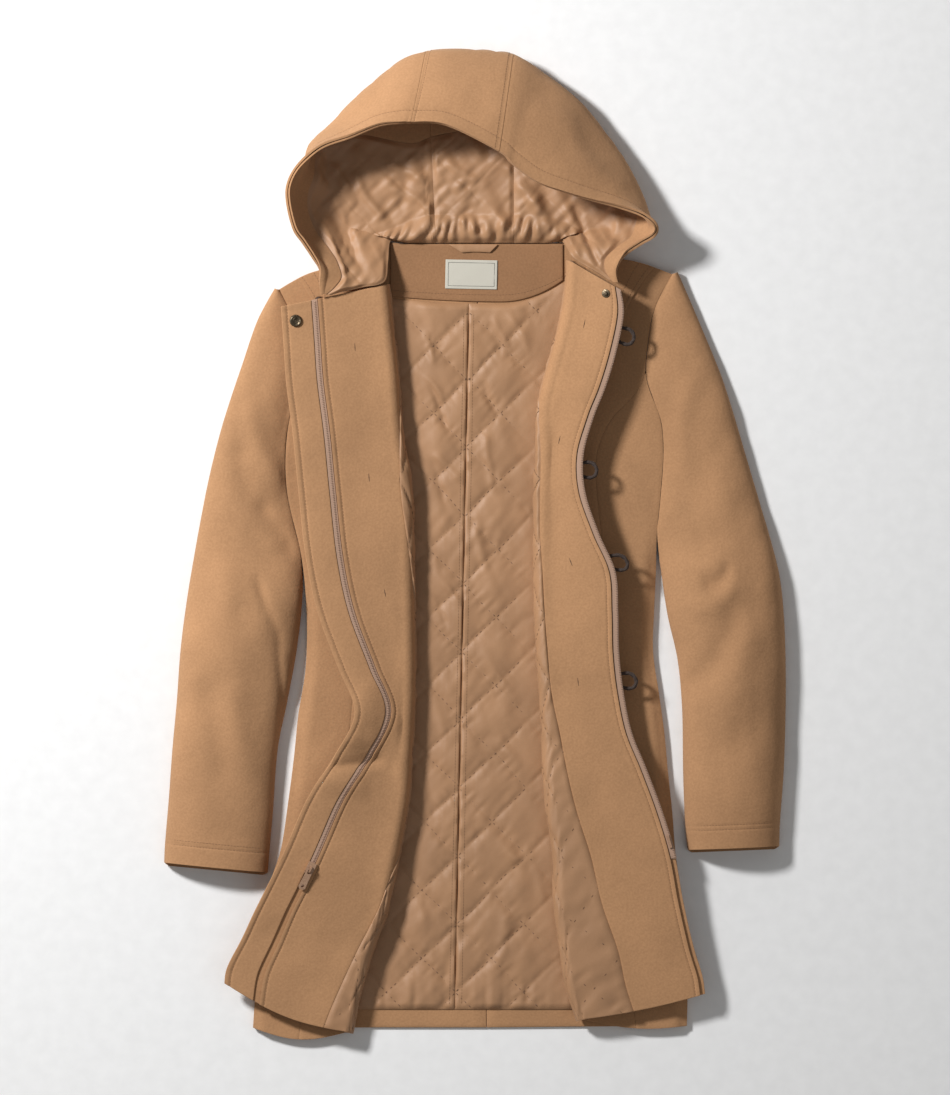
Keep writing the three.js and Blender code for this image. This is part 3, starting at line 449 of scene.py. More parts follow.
cloth = {"wool": 2.5, "facing": 1.8, "satin": 0.8, "gap": 0.3}
flat = cloth["wool"] / 2
liningBase = cloth["wool"] + cloth["gap"]
puffTop = 6.8
stitchHeight = 4.3
frontLow = puffTop + cloth["gap"] + flat
sideSeam = cloth["wool"] + cloth["gap"] + flat
onWool = flat + cloth["gap"]
foldSkin = onWool + 1.0
foldTurn = 9
foldRise = 2.4
placketWidth = 34
tapeWidth = 7
tapeStep = 1.5

frontColumns = "sideX sideY foldX foldY freeX freeY strip lift seam shoulder sweep armhole"
rightFront = readTable(frontColumns, [
    (-215, 283, -94, 289, -212, 264, 1, 37, 0, 20, 0, 1),
    (-194, 241, -89, 239, -209, 222, 1, 37, 0, 4, 0, 1),
    (-189, 195, -84, 191, -206, 178, 2, 37, 0.04, 0, 0, 1),
    (-205, 129, -79, 127, -199, 124, 5, 37, 0.42, 0, 0, 1),
    (-206, 63, -69, 63, -193, 63, 12, 37, 0.55, 0, 0, 1),
    (-190, -10, -67, -10, -185, -10, 6, 37, 0.5, 0, 0, 1),
    (-184, -72, -66, -72, -172, -71, 2, 38, 0.5, 0, 0, 0),
    (-185, -133, -65, -133, -149, -133, 1, 40, 0.5, 0, 0, 0),
    (-193, -184, -66, -182, -131, -182, 1, 43, 0.5, 0, 0, 0),
    (-198, -232, -69, -231, -154, -230, 1, 41, 0.5, 0, 0, 0),
    (-204, -278, -72, -276, -184, -278, 1, 39, 0.5, 0, 0, 0),
    (-212, -331, -81, -329, -208, -333, 2, 37, 0.5, 0, 0, 0),
    (-224, -369, -90, -371, -226, -370, 7, 35, 0.5, 0, 0, 0),
    (-231, -405, -97, -403, -242, -402, 11, 32, 0.5, 0, 0, 0),
    (-235, -443, -111, -441, -255, -430, 16, 28, 0.5, 0, 0, 0),
    (-240, -487, -125, -487, -271, -461, 23, 24, 0.5, -4, -3, 0),
    (-243, -529, -135, -535, -274, -479, 33, 21, 0.5, -10, -10, 0),
])
leftFront = readTable(frontColumns, [
    (218, 300, 103, 316, 160, 283, 1, 38, 0, 9, 0, 1),
    (199, 263, 99, 272, 163, 255, 1, 38, 0, 4, 0, 1),
    (191, 222, 91, 233, 154, 211, 1, 38, 0, 0, 0, 1),
    (190, 184, 77, 183, 143, 175, 1, 38, 0.04, 0, 0, 1),
    (205, 140, 70, 148, 130, 142, 4, 38, 0.42, 0, 0, 1),
    (208, 101, 69, 104, 119, 101, 6, 38, 0.57, 0, 0, 1),
    (205, 57, 67, 60, 121, 60, 7, 38, 0.55, 0, 0, 1),
    (201, 13, 67, 15, 136, 15, 7, 38, 0.5, 0, 0, 1),
    (200, -27, 67, -27, 154, -27, 9, 37, 0.5, 0, 0, 0),
    (198, -71, 68, -71, 157, -71, 10, 35, 0.5, 0, 0, 0),
    (197, -115, 70, -115, 158, -115, 11, 32, 0.5, 0, 0, 0),
    (203, -159, 73, -159, 163, -159, 12, 29, 0.5, 0, 0, 0),
    (209, -203, 76, -203, 172, -203, 18, 28, 0.5, 0, 0, 0),
    (213, -245, 77, -245, 188, -243, 25, 28, 0.5, 0, 0, 0),
    (218, -291, 81, -291, 206, -291, 32, 28, 0.5, 0, 0, 0),
    (222, -340, 88, -342, 221, -341, 41, 28, 0.5, 0, 0, 0),
    (229, -388, 89, -394, 230, -390, 52, 27, 0.5, 0, 0, 0),
    (233, -438, 96, -445, 241, -438, 62, 25, 0.5, 0, 0, 0),
    (235, -482, 103, -487, 251, -471, 64, 23, 0.5, -2, -1, 0),
    (234, -527, 115, -520, 254, -491, 62, 21, 0.5, -6, -3, 0),
])


def stack(*values):
    return np.stack(np.broadcast_arrays(*values), -1).astype(float)


# path is 0 to 1 on the lower leg, 1 to 2 round the fold, 2 to 3 back to the free edge
def frontPoint(row, path):
    fold = stack(row["foldX"], row["foldY"])
    side = stack(row["sideX"], row["sideY"])
    free = stack(row["freeX"], row["freeY"])
    toSide, toFree = unit(side - fold), unit(free - fold)
    turn = np.minimum(foldTurn, (row["lift"] - frontLow) / foldRise)
    inset = (foldSkin + turn)[..., None]
    low = np.clip(path, 0, 1)
    lower = mix(side, fold + toSide * inset, low[..., None])
    lowerY = lower[..., 1] + row["shoulder"] * np.sin(math.pi * low)
    edge = mix(sideSeam, frontLow, np.clip(row["armhole"], 0, 1))
    lowerPoints = stack(lower[..., 0], lowerY, mix(edge, frontLow, smooth(low / 0.12)))
    high = path - 2
    upper = mix(fold + toFree * inset, free, high[..., None])
    bow = row["sweep"] * np.sin(math.pi * np.clip(high, 0, 1))
    upperZ = mix(frontLow + 2 * turn, row["lift"], smooth(high))
    upperPoints = stack(upper[..., 0], upper[..., 1] + bow, upperZ)
    angle = (np.clip(path, 1, 2) - 1.5) * math.pi
    inward = unit(mix(toSide, toFree, np.clip(path - 1, 0, 1)[..., None]))
    round_ = fold + inward * (foldSkin + turn * (1 - np.cos(angle)))[..., None]
    turnPoints = stack(round_[..., 0], round_[..., 1], frontLow + turn + turn * np.sin(angle))
    path3 = np.broadcast_to(path, upperPoints.shape[:2])[..., None]
    return np.where(path3 <= 1, lowerPoints, np.where(path3 >= 2, upperPoints, turnPoints))


def upperLength(row):
    two, three = np.full_like(row["foldX"], 2.0), np.full_like(row["foldX"], 3.0)
    return np.linalg.norm(frontPoint(row, three) - frontPoint(row, two), axis=-1)


def fromFree(row, distance):
    return 3 - distance / upperLength(row)


def liningSeam(row):
    turn = np.minimum(foldTurn, (row["lift"] - frontLow) / foldRise)
    beyond = row["strip"] - foldSkin - turn
    onLeg = 2 + beyond / upperLength(row)
    onTurn = 1.5 + np.arccos(np.clip(-beyond / turn, 0, 1)) / math.pi
    return np.where(beyond > 0, onLeg, onTurn)


def grooveAt(distance, place, width=1.3, depth=0.55):
    return -depth * np.exp(-((distance - place) / width) ** 2)


# Paths at distances from the free edge, the last of them on the edge
def edgeColumns(row, distances):
    return np.concatenate([fromFree(row, d) for d in distances], 1)


# Diamond quilting of the satin; folds are x0 y0 x1 y1 width height
quilt = {
    "diamond": 75, "top": 260, "hem": -509, "inset": 16, "step": 2.45,
    "seamAtHem": -21, "seamAtTop": -5.5, "thread": 3.2,
    "proud": 2.2, "valley": 1.6, "sunk": 0.9, "pitch": 4.6,
    "cuts": {"right": (0.21, 0.8, 0.14), "left": (0.245, 0.81, 0.166)},
    "folds": [
        (-58, 239, -42, 202, 4, 1.5), (-50, 178, -28, 131, 3.5, -1.6), (-60, 192, -32, 164, 3, 1.2),
        (-47, 102, -12, 74, 4, 1.5), (-49, 96, -30, 47, 4, -1.5), (-49, 2, -38, -31, 4, 1.4),
        (-48, -29, -13, -62, 4, 1.3), (-44, -55, -28, -86, 3.5, -1.5), (23, 253, 35, 219, 4, 1.8),
        (40, 257, 64, 210, 4.5, 2.0), (62, 264, 87, 241, 5, 2.0), (13, 182, 25, 139, 4, -1.4),
        (15, 124, 19, 62, 4.5, 1.6), (4, 33, 11, -26, 5, 1.7), (28, 81, 50, 45, 5, 1.8),
        (50, 100, 64, 81, 5, -1.8), (54, 20, 66, -14, 5, 1.5), (40, -92, 66, -76, 5, -1.6),
        (60, 150, 72, 118, 4, 1.5),
        (10, -110, 50, -180, 6, 1.6), (-55, -150, -30, -210, 5, 1.4), (30, -210, 62, -262, 6, 1.7),
        (-62, -240, -42, -300, 5, -1.4), (6, -290, 48, -352, 6, 1.5), (60, -330, 78, -400, 5, 1.6),
        (-80, -360, -52, -420, 6, 1.5), (40, -400, 20, -470, 7, 1.8), (-10, -420, -34, -480, 6, -1.4),
    ],
}
seamGap = 0.05


# Distance from the nearest line of one diagonal, whose places are whole numbers there
def fromLine(places):
    return np.abs(places - np.rint(places)) * quilt["diamond"] / math.sqrt(2)


print("fronts")

frontPieces = {
    "right": {
        "rows": 216, "inner": -1, "edgeInside": placketWidth + tapeWidth, "zipEnd": -372,
        "cuts": {"front": (0.255, 0.86, 0.162), "side": (0.07, 0.75, 0.043), "yoke": (0.083, 0.12, 0.0066),
                 "facing": (0.095, 0.845, 0.061), "lining": (0.046, 0.84, 0.0174)},
        "creases": [
            (-120, -150, -70, -215, 16, 2.4), (-125, -205, -75, -255, 13, -1.6),
            (-161, -246, -101, -228, 7, -3.2), (-155, -218, -108, -203, 11, 2.2), (-172, -268, -120, -256, 12, 1.8),
            (-165, 240, -120, 120, 26, 1.2), (-150, 60, -95, -60, 24, -1.2),
            (-110, 20, -80, -110, 18, 1.3), (-170, -330, -110, -400, 24, 1.4),
            (-215, -400, -150, -460, 26, -1.3), (-200, -450, -140, -520, 20, 1.0),
        ],
        "lower": [
            (-200, 150, -215, -20, 10, -0.8), (-196, -120, -176, -210, 14, 1.0),
            (-205, -240, -190, -340, 15, -1.1), (-150, -200, -190, -290, 16, 1.0),
        ],
    },
    "left": {
        "rows": 216, "inner": 1, "edgeInside": tapeWidth - tapeStep, "zipEnd": -345,
        "cuts": {"front": (0.222, 0.855, 0.149), "side": (0.075, 0.73, 0.046), "yoke": (0.076, 0.1, 0.0052),
                 "facing": (0.09, 0.845, 0.059), "lining": (0.08, 0.85, 0.0316)},
        "creases": [
            (120, 250, 98, 120, 22, 1.0), (84, 120, 108, -10, 18, -1.2), (100, 40, 120, -110, 16, 1.2),
            (95, -60, 150, -160, 18, -1.0), (90, -170, 180, -250, 20, 1.3), (120, -270, 200, -370, 22, -1.2),
            (150, -340, 215, -450, 20, 1.2),
        ],
        "lower": [
            (165, 120, 195, -40, 14, 0.9), (175, -60, 190, -170, 14, -1.0), (190, -150, 205, -290, 12, 1.0),
            (206, -250, 220, -400, 12, -1.0),
        ],
    },
}


def frontRelief(side, points):
    piece = frontPieces[side]
    x, y = points[..., 0], points[..., 1]
    seed = 11 if side == "right" else 12
    return creasesAt(x, y, piece["creases"]) + 0.7 * noiseAt(x / 42, y / 55, seed)


# Every third place along the line on a strip where its quilting number is whole
def quiltRun(surface, normals, numbers, whole):
    rows = np.arange(len(surface))
    line, outs = [], []
    for j in range(surface.shape[1]):
        if numbers[:, j].min() < whole < numbers[:, j].max():
            at = np.interp(-whole, -numbers[:, j], rows)
            line.append([np.interp(at, rows, surface[:, j, k]) for k in range(3)])
            outs.append([np.interp(at, rows, normals[:, j, k]) for k in range(3)])
    if len(line) < 4:
        return np.empty((0, 3)), np.empty((0, 3)), np.empty((0, 3))
    line = np.array(line)
    return line[1::3], np.gradient(line, axis=0)[1::3], np.array(outs)[1::3]


def makeFront(side, table):
    piece = frontPieces[side]
    inner = piece["inner"]
    count = len(table["foldX"]) - 1
    places = np.linspace(0, count, piece["rows"])
    row = rowsAt(table, places)
    princess = np.where(row["seam"] > 0.01, row["seam"], 0.0)
    inside = fromFree(row, piece["edgeInside"])
    seam = liningSeam(row)
    under = np.full_like(seam, 1.2)
    ones = np.ones_like(seam)

    # Creases on both legs, fading out at the seams and edges
    def relief(points, path):
        x, y = points[..., 0], points[..., 1]
        upper = frontRelief(side, points) * smooth((path - 2) / 0.15)
        seed = 13 if side == "right" else 14
        lower = creasesAt(x, y, piece["lower"]) + 0.4 * noiseAt(x / 40, y / 60, seed)
        return upper + lower * smooth((0.9 - path) / 0.2) * smooth((path - princess) / 0.06)

    nearEdge = [9, 7.6, 6.8, 6.2, 5.6, 4.8, 3.6, 2.4, 1.2, 0.4, 0]
    main = spreadBetween([princess, ones, 2 * ones, fromFree(row, 11)], [10, 10, 34])
    path = np.concatenate([main, edgeColumns(row, nearEdge)], 1)
    points = frontPoint(row, path)
    points[..., 2] += relief(points, path)
    points = drawBack(points, {"start": seamGap})
    clothPiece(f"frontWool_{side}", points, cloth["wool"], wool, [f"front_{side}"])

    # Side front, drawn back from the princess seam
    first = int(np.argmax(row["seam"][:, 0] > 0.01))
    cut = partOf(row, slice(first, None))
    path = spreadBetween([np.zeros_like(cut["seam"]), cut["seam"]], [16])
    points = frontPoint(cut, path)
    x, y = points[..., 0], points[..., 1]
    fade = smooth(path / 0.08) * smooth((cut["seam"] - path) / 0.06)
    points[..., 2] += fade * creasesAt(x, y, piece["lower"])
    points = drawBack(points, {"first": seamGap, "end": seamGap})
    clothPiece(f"sideFront_{side}", points, cloth["wool"], wool, [f"side_front_{side}"])

    # Yoke on the outer face of the lower leg
    yokeEnd = int(np.searchsorted(places, 2))
    cut = partOf(row, slice(yokeEnd + 1))
    low = mix(0.18, 0.45, places[: yokeEnd + 1, None] / 2)
    yoke = frontPoint(cut, spreadBetween([low, np.full_like(low, 0.9)], [30]))
    outside = offsetBy(yoke, -inner * (onWool + cloth["facing"] / 2))
    clothPiece(f"frontYoke_{side}", outside, cloth["facing"], wool, [f"front_yoke_{side}"])
    face = offsetBy(yoke, -inner * (onWool + cloth["facing"]))
    for inset in (2, 7):
        addRun(face[:, inset], normalsOf(yoke)[:, inset] * -inner)

    # Facing and front lining on the inner face of the folded-back leg
    def onFace(path, thickness, extra=0.0):
        base = frontPoint(row, path)
        base[..., 2] += relief(base, path)
        return offsetBy(base, inner * (onWool + thickness / 2 + extra))

    distances = np.array([14, 10, 8, 6.6, 5.8, 5.0, 4.2, 3.0, 1.6, 0.6, 0.0])
    last = np.concatenate([fromFree(row, piece["edgeInside"] + d) for d in distances], 1)
    path = np.concatenate([spreadBetween([seam, last[:, :1]], [28])[:, :-1], last], 1)
    away = (inside - path) * upperLength(row)
    roll = 0.7 * smooth((5.4 - away) / 3.0) + grooveAt(away, 5.2, 1.0, 0.5)
    second = grooveAt(away, 11.0, 1.0, 0.4) if side == "left" else 0
    facing = onFace(path, cloth["facing"], roll + second)
    facing = drawBack(facing, {"start": seamGap, "end": 0.2})
    clothPiece(f"frontFacing_{side}", facing, cloth["facing"], facingWool, [f"facing_{side}"])
    normal = normalsOf(facing) * inner
    run = -7 if side == "right" else -6
    addRun((facing + normal * cloth["facing"] / 2)[:, run], normal[:, run])

    path = spreadBetween([under, seam], [34])
    base = frontPoint(row, path)
    y = base[..., 1]
    width = (seam - path) * np.maximum(upperLength(row), 1)
    slanted = noiseAt((y + 0.8 * width) / 6.5, (width - 0.8 * y) / 30, 21)
    puckers = 1.3 * slanted + 0.9 * noiseAt(y / 4.2, width / 16, 22) * np.exp(-width / 9)
    s, t = (y + width) / quilt["diamond"], (y - width) / quilt["diamond"]
    toLine = np.minimum(fromLine(s), fromLine(t))
    puff = 1.9 - 1.5 * np.exp(-toLine / 2.2) + puckers * (0.4 + 0.6 * np.exp(-toLine / 9))
    lining = onFace(path, cloth["satin"], 0.5 + np.maximum(puff, -0.3) * smooth(width / 3))
    lining = drawBack(lining, {"end": seamGap})
    clothPiece(f"frontLining_{side}", lining, cloth["satin"], satin, [f"front_lining_{side}"])
    out = normalsOf(lining) * inner
    runs = [quiltRun(lining + out * 0.6, out, places, whole) for places in (s, t)
            for whole in range(math.ceil(places.min()), math.ceil(places.max()))]
    spots, ways, outs = (np.concatenate(parts) for parts in zip(*runs))
    barsAt(f"liningStitches_{side}", spots, ways, outs, np.full(len(spots), quilt["thread"]), 0.8, 0.4,
           quiltThreadAndValleyShade)
    return row


tooth = {"pitch": 1.9, "length": 3.0, "width": 1.3, "proud": 0.3}


# Woven tape with a moulded coil along its middle
def tapeAndTeeth(side, row, edges, teethAt):
    count = int(np.sum(row["freeY"][:, 0] > frontPieces[side]["zipEnd"]))
    cut = partOf(row, slice(count))
    inner = frontPieces[side]["inner"]

    base = frontPoint(cut, spreadBetween([fromFree(cut, edge) for edge in edges], [8]))
    base[..., 2] += frontRelief(side, base)
    middle = offsetBy(base, inner * (onWool + 0.6))
    flatSheet(f"zipTape_{side}", middle, 1.2, tape, [f"zip_tape_{side}"])
    top = offsetBy(base, inner * (onWool + 1.2))
    line = top[:, teethAt]
    lengths = arcLengths(line, 0)
    spots = np.arange(3.0, lengths[-1] - 2, tooth["pitch"])
    out = alongLine(normalsOf(top)[:, teethAt] * inner, lengths, spots)
    across = alongLine(top[:, teethAt + 1] - top[:, teethAt - 1], lengths, spots)
    places = alongLine(line, lengths, spots) + unit(out) * tooth["proud"]
    barsAt(f"zipTeeth_{side}", places, across, out, np.full(len(spots), tooth["length"]),
           tooth["width"], tooth["width"], tape)


rowsRight = makeFront("right", rightFront)
rowsLeft = makeFront("left", leftFront)

# Fly placket with its edge and stitch line
distances = [34, 32, 29, 25, 21, 17, 13, 10, 8.4, 7.4, 6.7, 6.0, 5.2, 4.2, 3.0, 1.8, 0.8, 0]
path = edgeColumns(rowsRight, distances)
away = np.array(distances, float)[None, :] + 0 * path
topEdge = arcLengths(frontPoint(rowsRight, path), 0)
roll = 0.6 * smooth((6.2 - away) / 3) + grooveAt(away, 6.4) + grooveAt(topEdge, 6.4)
base = frontPoint(rowsRight, path)
base[..., 2] += frontRelief("right", base)
placket = drawBack(offsetBy(base, -(onWool + cloth["facing"] / 2 + roll)), {"start": 0.2})
clothPiece("flyPlacket", placket, cloth["facing"], facingWool, ["fly_placket"],
           roll=0.45)
addRun((placket - normalsOf(placket) * cloth["facing"] / 2)[:, 10], -normalsOf(placket)[:, 10])

tapeAndTeeth("right", rowsRight, (placketWidth + tapeWidth - 0.2, placketWidth + 0.2), 4)
tapeAndTeeth("left", rowsLeft, (tapeWidth - tapeStep - 0.2, -tapeStep), 6)

print("back and quilted lining")


back = {"hem": -529, "neck": 334.4, "seamAtHem": 14, "seamAtNeck": 3,
        "cuts": {"right": (0.255, 0.865, 0.183), "left": (0.222, 0.865, 0.174)}}


def backSeamX(y):
    return mix(back["seamAtHem"], back["seamAtNeck"], (y - back["hem"]) / (back["neck"] - back["hem"]))


def backPiece(side, table):
    sign = -1 if side == "right" else 1
    last = len(table["foldX"]) - 1
    places = np.linspace(0, last, 110)
    row = rowsAt(table, places)
    y0, x1 = row["sideY"], row["sideX"]
    risen = (back["neck"] - y0[0]) * 0.5 ** (places[:, None] * 2)
    across = spreadBetween([[0.0], [0.45], [1.0]], [7, 10])
    level = (back["hem"] - y0[-1]) * (1 - across) * smooth((places[:, None] - last + 2) / 2)
    slope = np.minimum(1, (1 - across) / 0.55)
    x = mix(backSeamX(y0) + sign * 0.15, x1, across)
    points = stack(x, y0 + risen * slope + level, 0 * x + flat)
    clothPiece(f"backWool_{side}", points, cloth["wool"], wool, [f"back_{side}"])


backPiece("right", rightFront)
backPiece("left", leftFront)


def neckEdge(x):
    return 270 + np.where(x > 30, 0.0051, 0.0004) * (x - 30) ** 2


def liningSeamX(y):
    return mix(quilt["seamAtHem"], quilt["seamAtTop"], (y - quilt["hem"]) / (270 - quilt["hem"]))


# Share of the way into the open part between the two folds, where nothing lies on the lining
def openBetween(x, y):
    folds = []
    for table in (rightFront, leftFront):
        order = np.argsort(table["foldY"])
        folds.append(np.interp(y, table["foldY"][order], table["foldX"][order]))
    return smooth((x - folds[0] - 20) / 22) * smooth((folds[1] - 20 - x) / 22)


# Quilting lines are where s or t is whole; the wobble keeps them as uneven as sewn ones
def quiltPlaces(x, y):
    reach = np.abs(x - liningSeamX(y))
    wobble = 0.03 * noiseAt(x / 33, y / 33, 31)
    s = (quilt["top"] - y + reach) / quilt["diamond"] + wobble
    t = (quilt["top"] - y - reach) / quilt["diamond"] - wobble
    return s, t, reach


def liningHeight(x, y, neckEnd):
    s, t, reach = quiltPlaces(x, y)
    toS, toT = fromLine(s), fromLine(t)
    toLine = np.minimum(toS, toT)
    isOpen = openBetween(x, y)
    dome = np.abs(np.sin(math.pi * s) * np.sin(math.pi * t)) ** 0.8
    top = puffTop + quilt["proud"] * isOpen
    puff = mix(stitchHeight + 0.5, top, 0.2 + 0.6 * dome)
    height = puff - quilt["sunk"] * np.exp(-toLine / quilt["valley"])
    # puckers cross the quilting lines, and drag folds run from line to line
    along = np.where(toS < toT, t, s) * quilt["diamond"] / math.sqrt(2)
    pucker = noiseAt(along / 4.0, toLine / 24 + 7 * np.rint(s), 32)
    pucker = pucker * np.exp(-toLine / 9) * smooth(toLine / 1.2)
    drag = noiseAt((x + 0.45 * y) / 11, (y - 0.45 * x) / 46, 33)
    drag = drag + 0.7 * noiseAt((x - 0.8 * y) / 9, (y + 0.8 * x) / 40, 34)
    away = smooth(toLine / 7)
    hem = noiseAt(x / 6.5, y / 50, 35) * smooth((-455 - y) / 45)
    folds = creasesAt(x, y, quilt["folds"]) * (0.35 + 0.65 * isOpen)
    height = height + (0.55 + 0.5 * isOpen) * (0.85 * pucker + 0.6 * drag * away + 1.2 * hem) + 1.25 * folds
    edge = smooth((reach + 0.4) / 1.6) * smooth((y - quilt["hem"]) / 5) * smooth((neckEnd - y) / 5)
    ceiling = puffTop - 0.05 + (quilt["proud"] + 1.5) * isOpen
    return mix(stitchHeight - 0.9, np.clip(height, liningBase + 0.5, ceiling), edge)


def liningPiece(side, table):
    sign = -1 if side == "right" else 1
    rows = int((quilt["top"] - quilt["hem"]) / quilt["step"])
    down = np.linspace(quilt["top"], quilt["hem"], rows)[:, None]
    order = np.argsort(table["sideY"])
    sideX = np.interp(down, table["sideY"][order], table["sideX"][order]) - sign * quilt["inset"]
    seam = liningSeamX(down) + sign * 0.06
    across = spreadBetween([[0.0], [0.62], [1.0]], [62, 11])
    x = mix(seam, sideX, across)
    y = down + 0 * x
    neckEnd = np.minimum(neckEdge(x) - 2.5, 290)
    nearNeck = smooth((y - (quilt["top"] - 37.5)) / 37.5)
    y = mix(y, neckEnd - (quilt["top"] - y), nearNeck * smooth((150 - np.abs(x - seam)) / 30))
    height = liningHeight(x, y, neckEnd)
    points = stack(x, y, height - cloth["satin"] / 2)
    clothPiece(f"backLining_{side}", points, cloth["satin"], satin, [f"back_lining_{side}"])
    sewQuilting(side, sideX.min() if side == "right" else sideX.max())
    return points


# Dark thread along both diagonals of one half, where it shows between the fronts; its darkness is partly the
# thread's own and partly painted shade for the quilting valleys
def sewQuilting(side, reachX):
    sign = -1 if side == "right" else 1
    width = abs(reachX)
    for way in (1, -1):
        for k in range(-5, 15):
            reach = np.arange(2.0, width, quilt["pitch"])
            y = quilt["top"] + way * reach - quilt["diamond"] * k
            x = liningSeamX(y) + sign * reach
            for _ in range(3):
                s, t = quiltPlaces(x, y)[:2]
                y = y + ((s if way > 0 else t) - k) * quilt["diamond"]
                x = liningSeamX(y) + sign * reach
            neckEnd = np.minimum(neckEdge(x) - 2.5, 290)
            kept = (openBetween(x, y) > 0.02) & (y > quilt["hem"] + 3) & (y < neckEnd - 4)
            if kept.sum() < 3:
                continue
            x, y = x[kept], y[kept]
            z = liningHeight(x, y, neckEnd[kept])
            spots = stack(x, y, z)
            quiltSpots.append(spots + (0, 0, 0.4))
            quiltWays.append(np.gradient(spots, axis=0))


quiltSpots, quiltWays = [], []
liningRight = liningPiece("right", rightFront)
liningLeft = liningPiece("left", leftFront)
spots = np.concatenate(quiltSpots)
barsAt("quiltStitches", spots, np.concatenate(quiltWays), upwards(spots),
       np.full(len(spots), 3.4), 0.85, 0.4, quiltThreadAndValleyShade)

across = np.linspace(-92, 98, 60)[None, :]
up = np.linspace(0, 1, 18)[:, None]
y = mix(neckEdge(across), 333.4 + 1.7 * smooth((-78 - across) / 9), up)
height = liningBase + cloth["facing"] / 2 + 0.25 * noiseAt(across / 30, y / 25, 41)
neckPoints = stack(across, y, height)[::-1]
# The back neck facing takes the darker wool, whose tone is painted shade
clothPiece("backNeckFacing", neckPoints, cloth["facing"], neckWoolPaintedShade, ["back_neck_facing"])
neckTop = liningBase + cloth["facing"]
line = neckPoints[-3]
addRun(line + (0, 0, cloth["facing"] / 2), upwards(line))

# Bare label with a woven border, and the hanger loop
label = {"width": 57, "height": 32, "thickness": 0.7, "centre": (-3, 300), "turn": -0.02, "border": 3.2}
labelTop = neckTop + cloth["gap"] + label["thickness"]


def labelPlace(x, y):
    c, s = math.cos(label["turn"]), math.sin(label["turn"])
    return label["centre"][0] + x * c - y * s, label["centre"][1] + x * s + y * c


u = np.linspace(-1, 1, 40)[None, :] * label["width"] / 2
v = np.linspace(1, -1, 24)[:, None] * label["height"] / 2
x, y = labelPlace(u + 0 * v, v + 0 * u)
bowed = 0.35 * (1 - (u / 28.5) ** 2) * (1 - (v / 16) ** 2) + 0.12 * noiseAt(x / 12, y / 9, 42)
points = stack(x, y, labelTop - label["thickness"] / 2 + bowed)
clothPiece("neckLabel", points, label["thickness"], labelCloth, ["neck_label"])
frameX = label["width"] / 2 - label["border"]
frameY = label["height"] / 2 - label["border"]
spots, ways = [], []
for x0, y0, x1, y1 in [(-frameX, frameY, frameX, frameY), (-frameX, -frameY, frameX, -frameY),
                       (-frameX, -frameY, -frameX, frameY), (frameX, -frameY, frameX, frameY)]:
    steps = int(math.hypot(x1 - x0, y1 - y0) / 0.95)
    for k in range(steps):
        t = (k + 0.5) / steps
        px, py = mix(x0, x1, t), mix(y0, y1, t)
        bow = 0.35 * (1 - (px / 28.5) ** 2) * (1 - (py / 16) ** 2)
        spots.append((*labelPlace(px, py), labelTop + bow + 0.05))
        ways.append((x1 - x0, y1 - y0, 0))
barsAt("labelBorder", np.array(spots), np.array(ways, float), upwards(spots),
       np.full(len(spots), 1.0), 0.75, 0.3, labelThread)

# Hanger loop: a folded band, wider at its ends
hanger = {"top": (-27.5, 333.0, 26.5, 333.0), "foot": (-13.5, 324.0, 17.5, 324.0), "thickness": 1.0}
u = np.linspace(0, 1, 40)[None, :]
v = np.linspace(0, 1, 12)[:, None]
topX, footX = mix(hanger["top"][0], hanger["top"][2], u), mix(hanger["foot"][0], hanger["foot"][2], u)
x = mix(topX, footX, v)
y = mix(hanger["top"][1], hanger["foot"][1], v) + 0.8 * np.sin(math.pi * u) * v
puffed = 0.9 * np.sqrt(np.maximum(np.sin(math.pi * v), 0)) + 0.25 * noiseAt(x / 6, y / 5, 43)
points = stack(x, y, neckTop + cloth["gap"] + 0.6 + puffed)
clothPiece("hangerLoop", points, hanger["thickness"], satin, ["hanger_loop"])

print("sleeves")

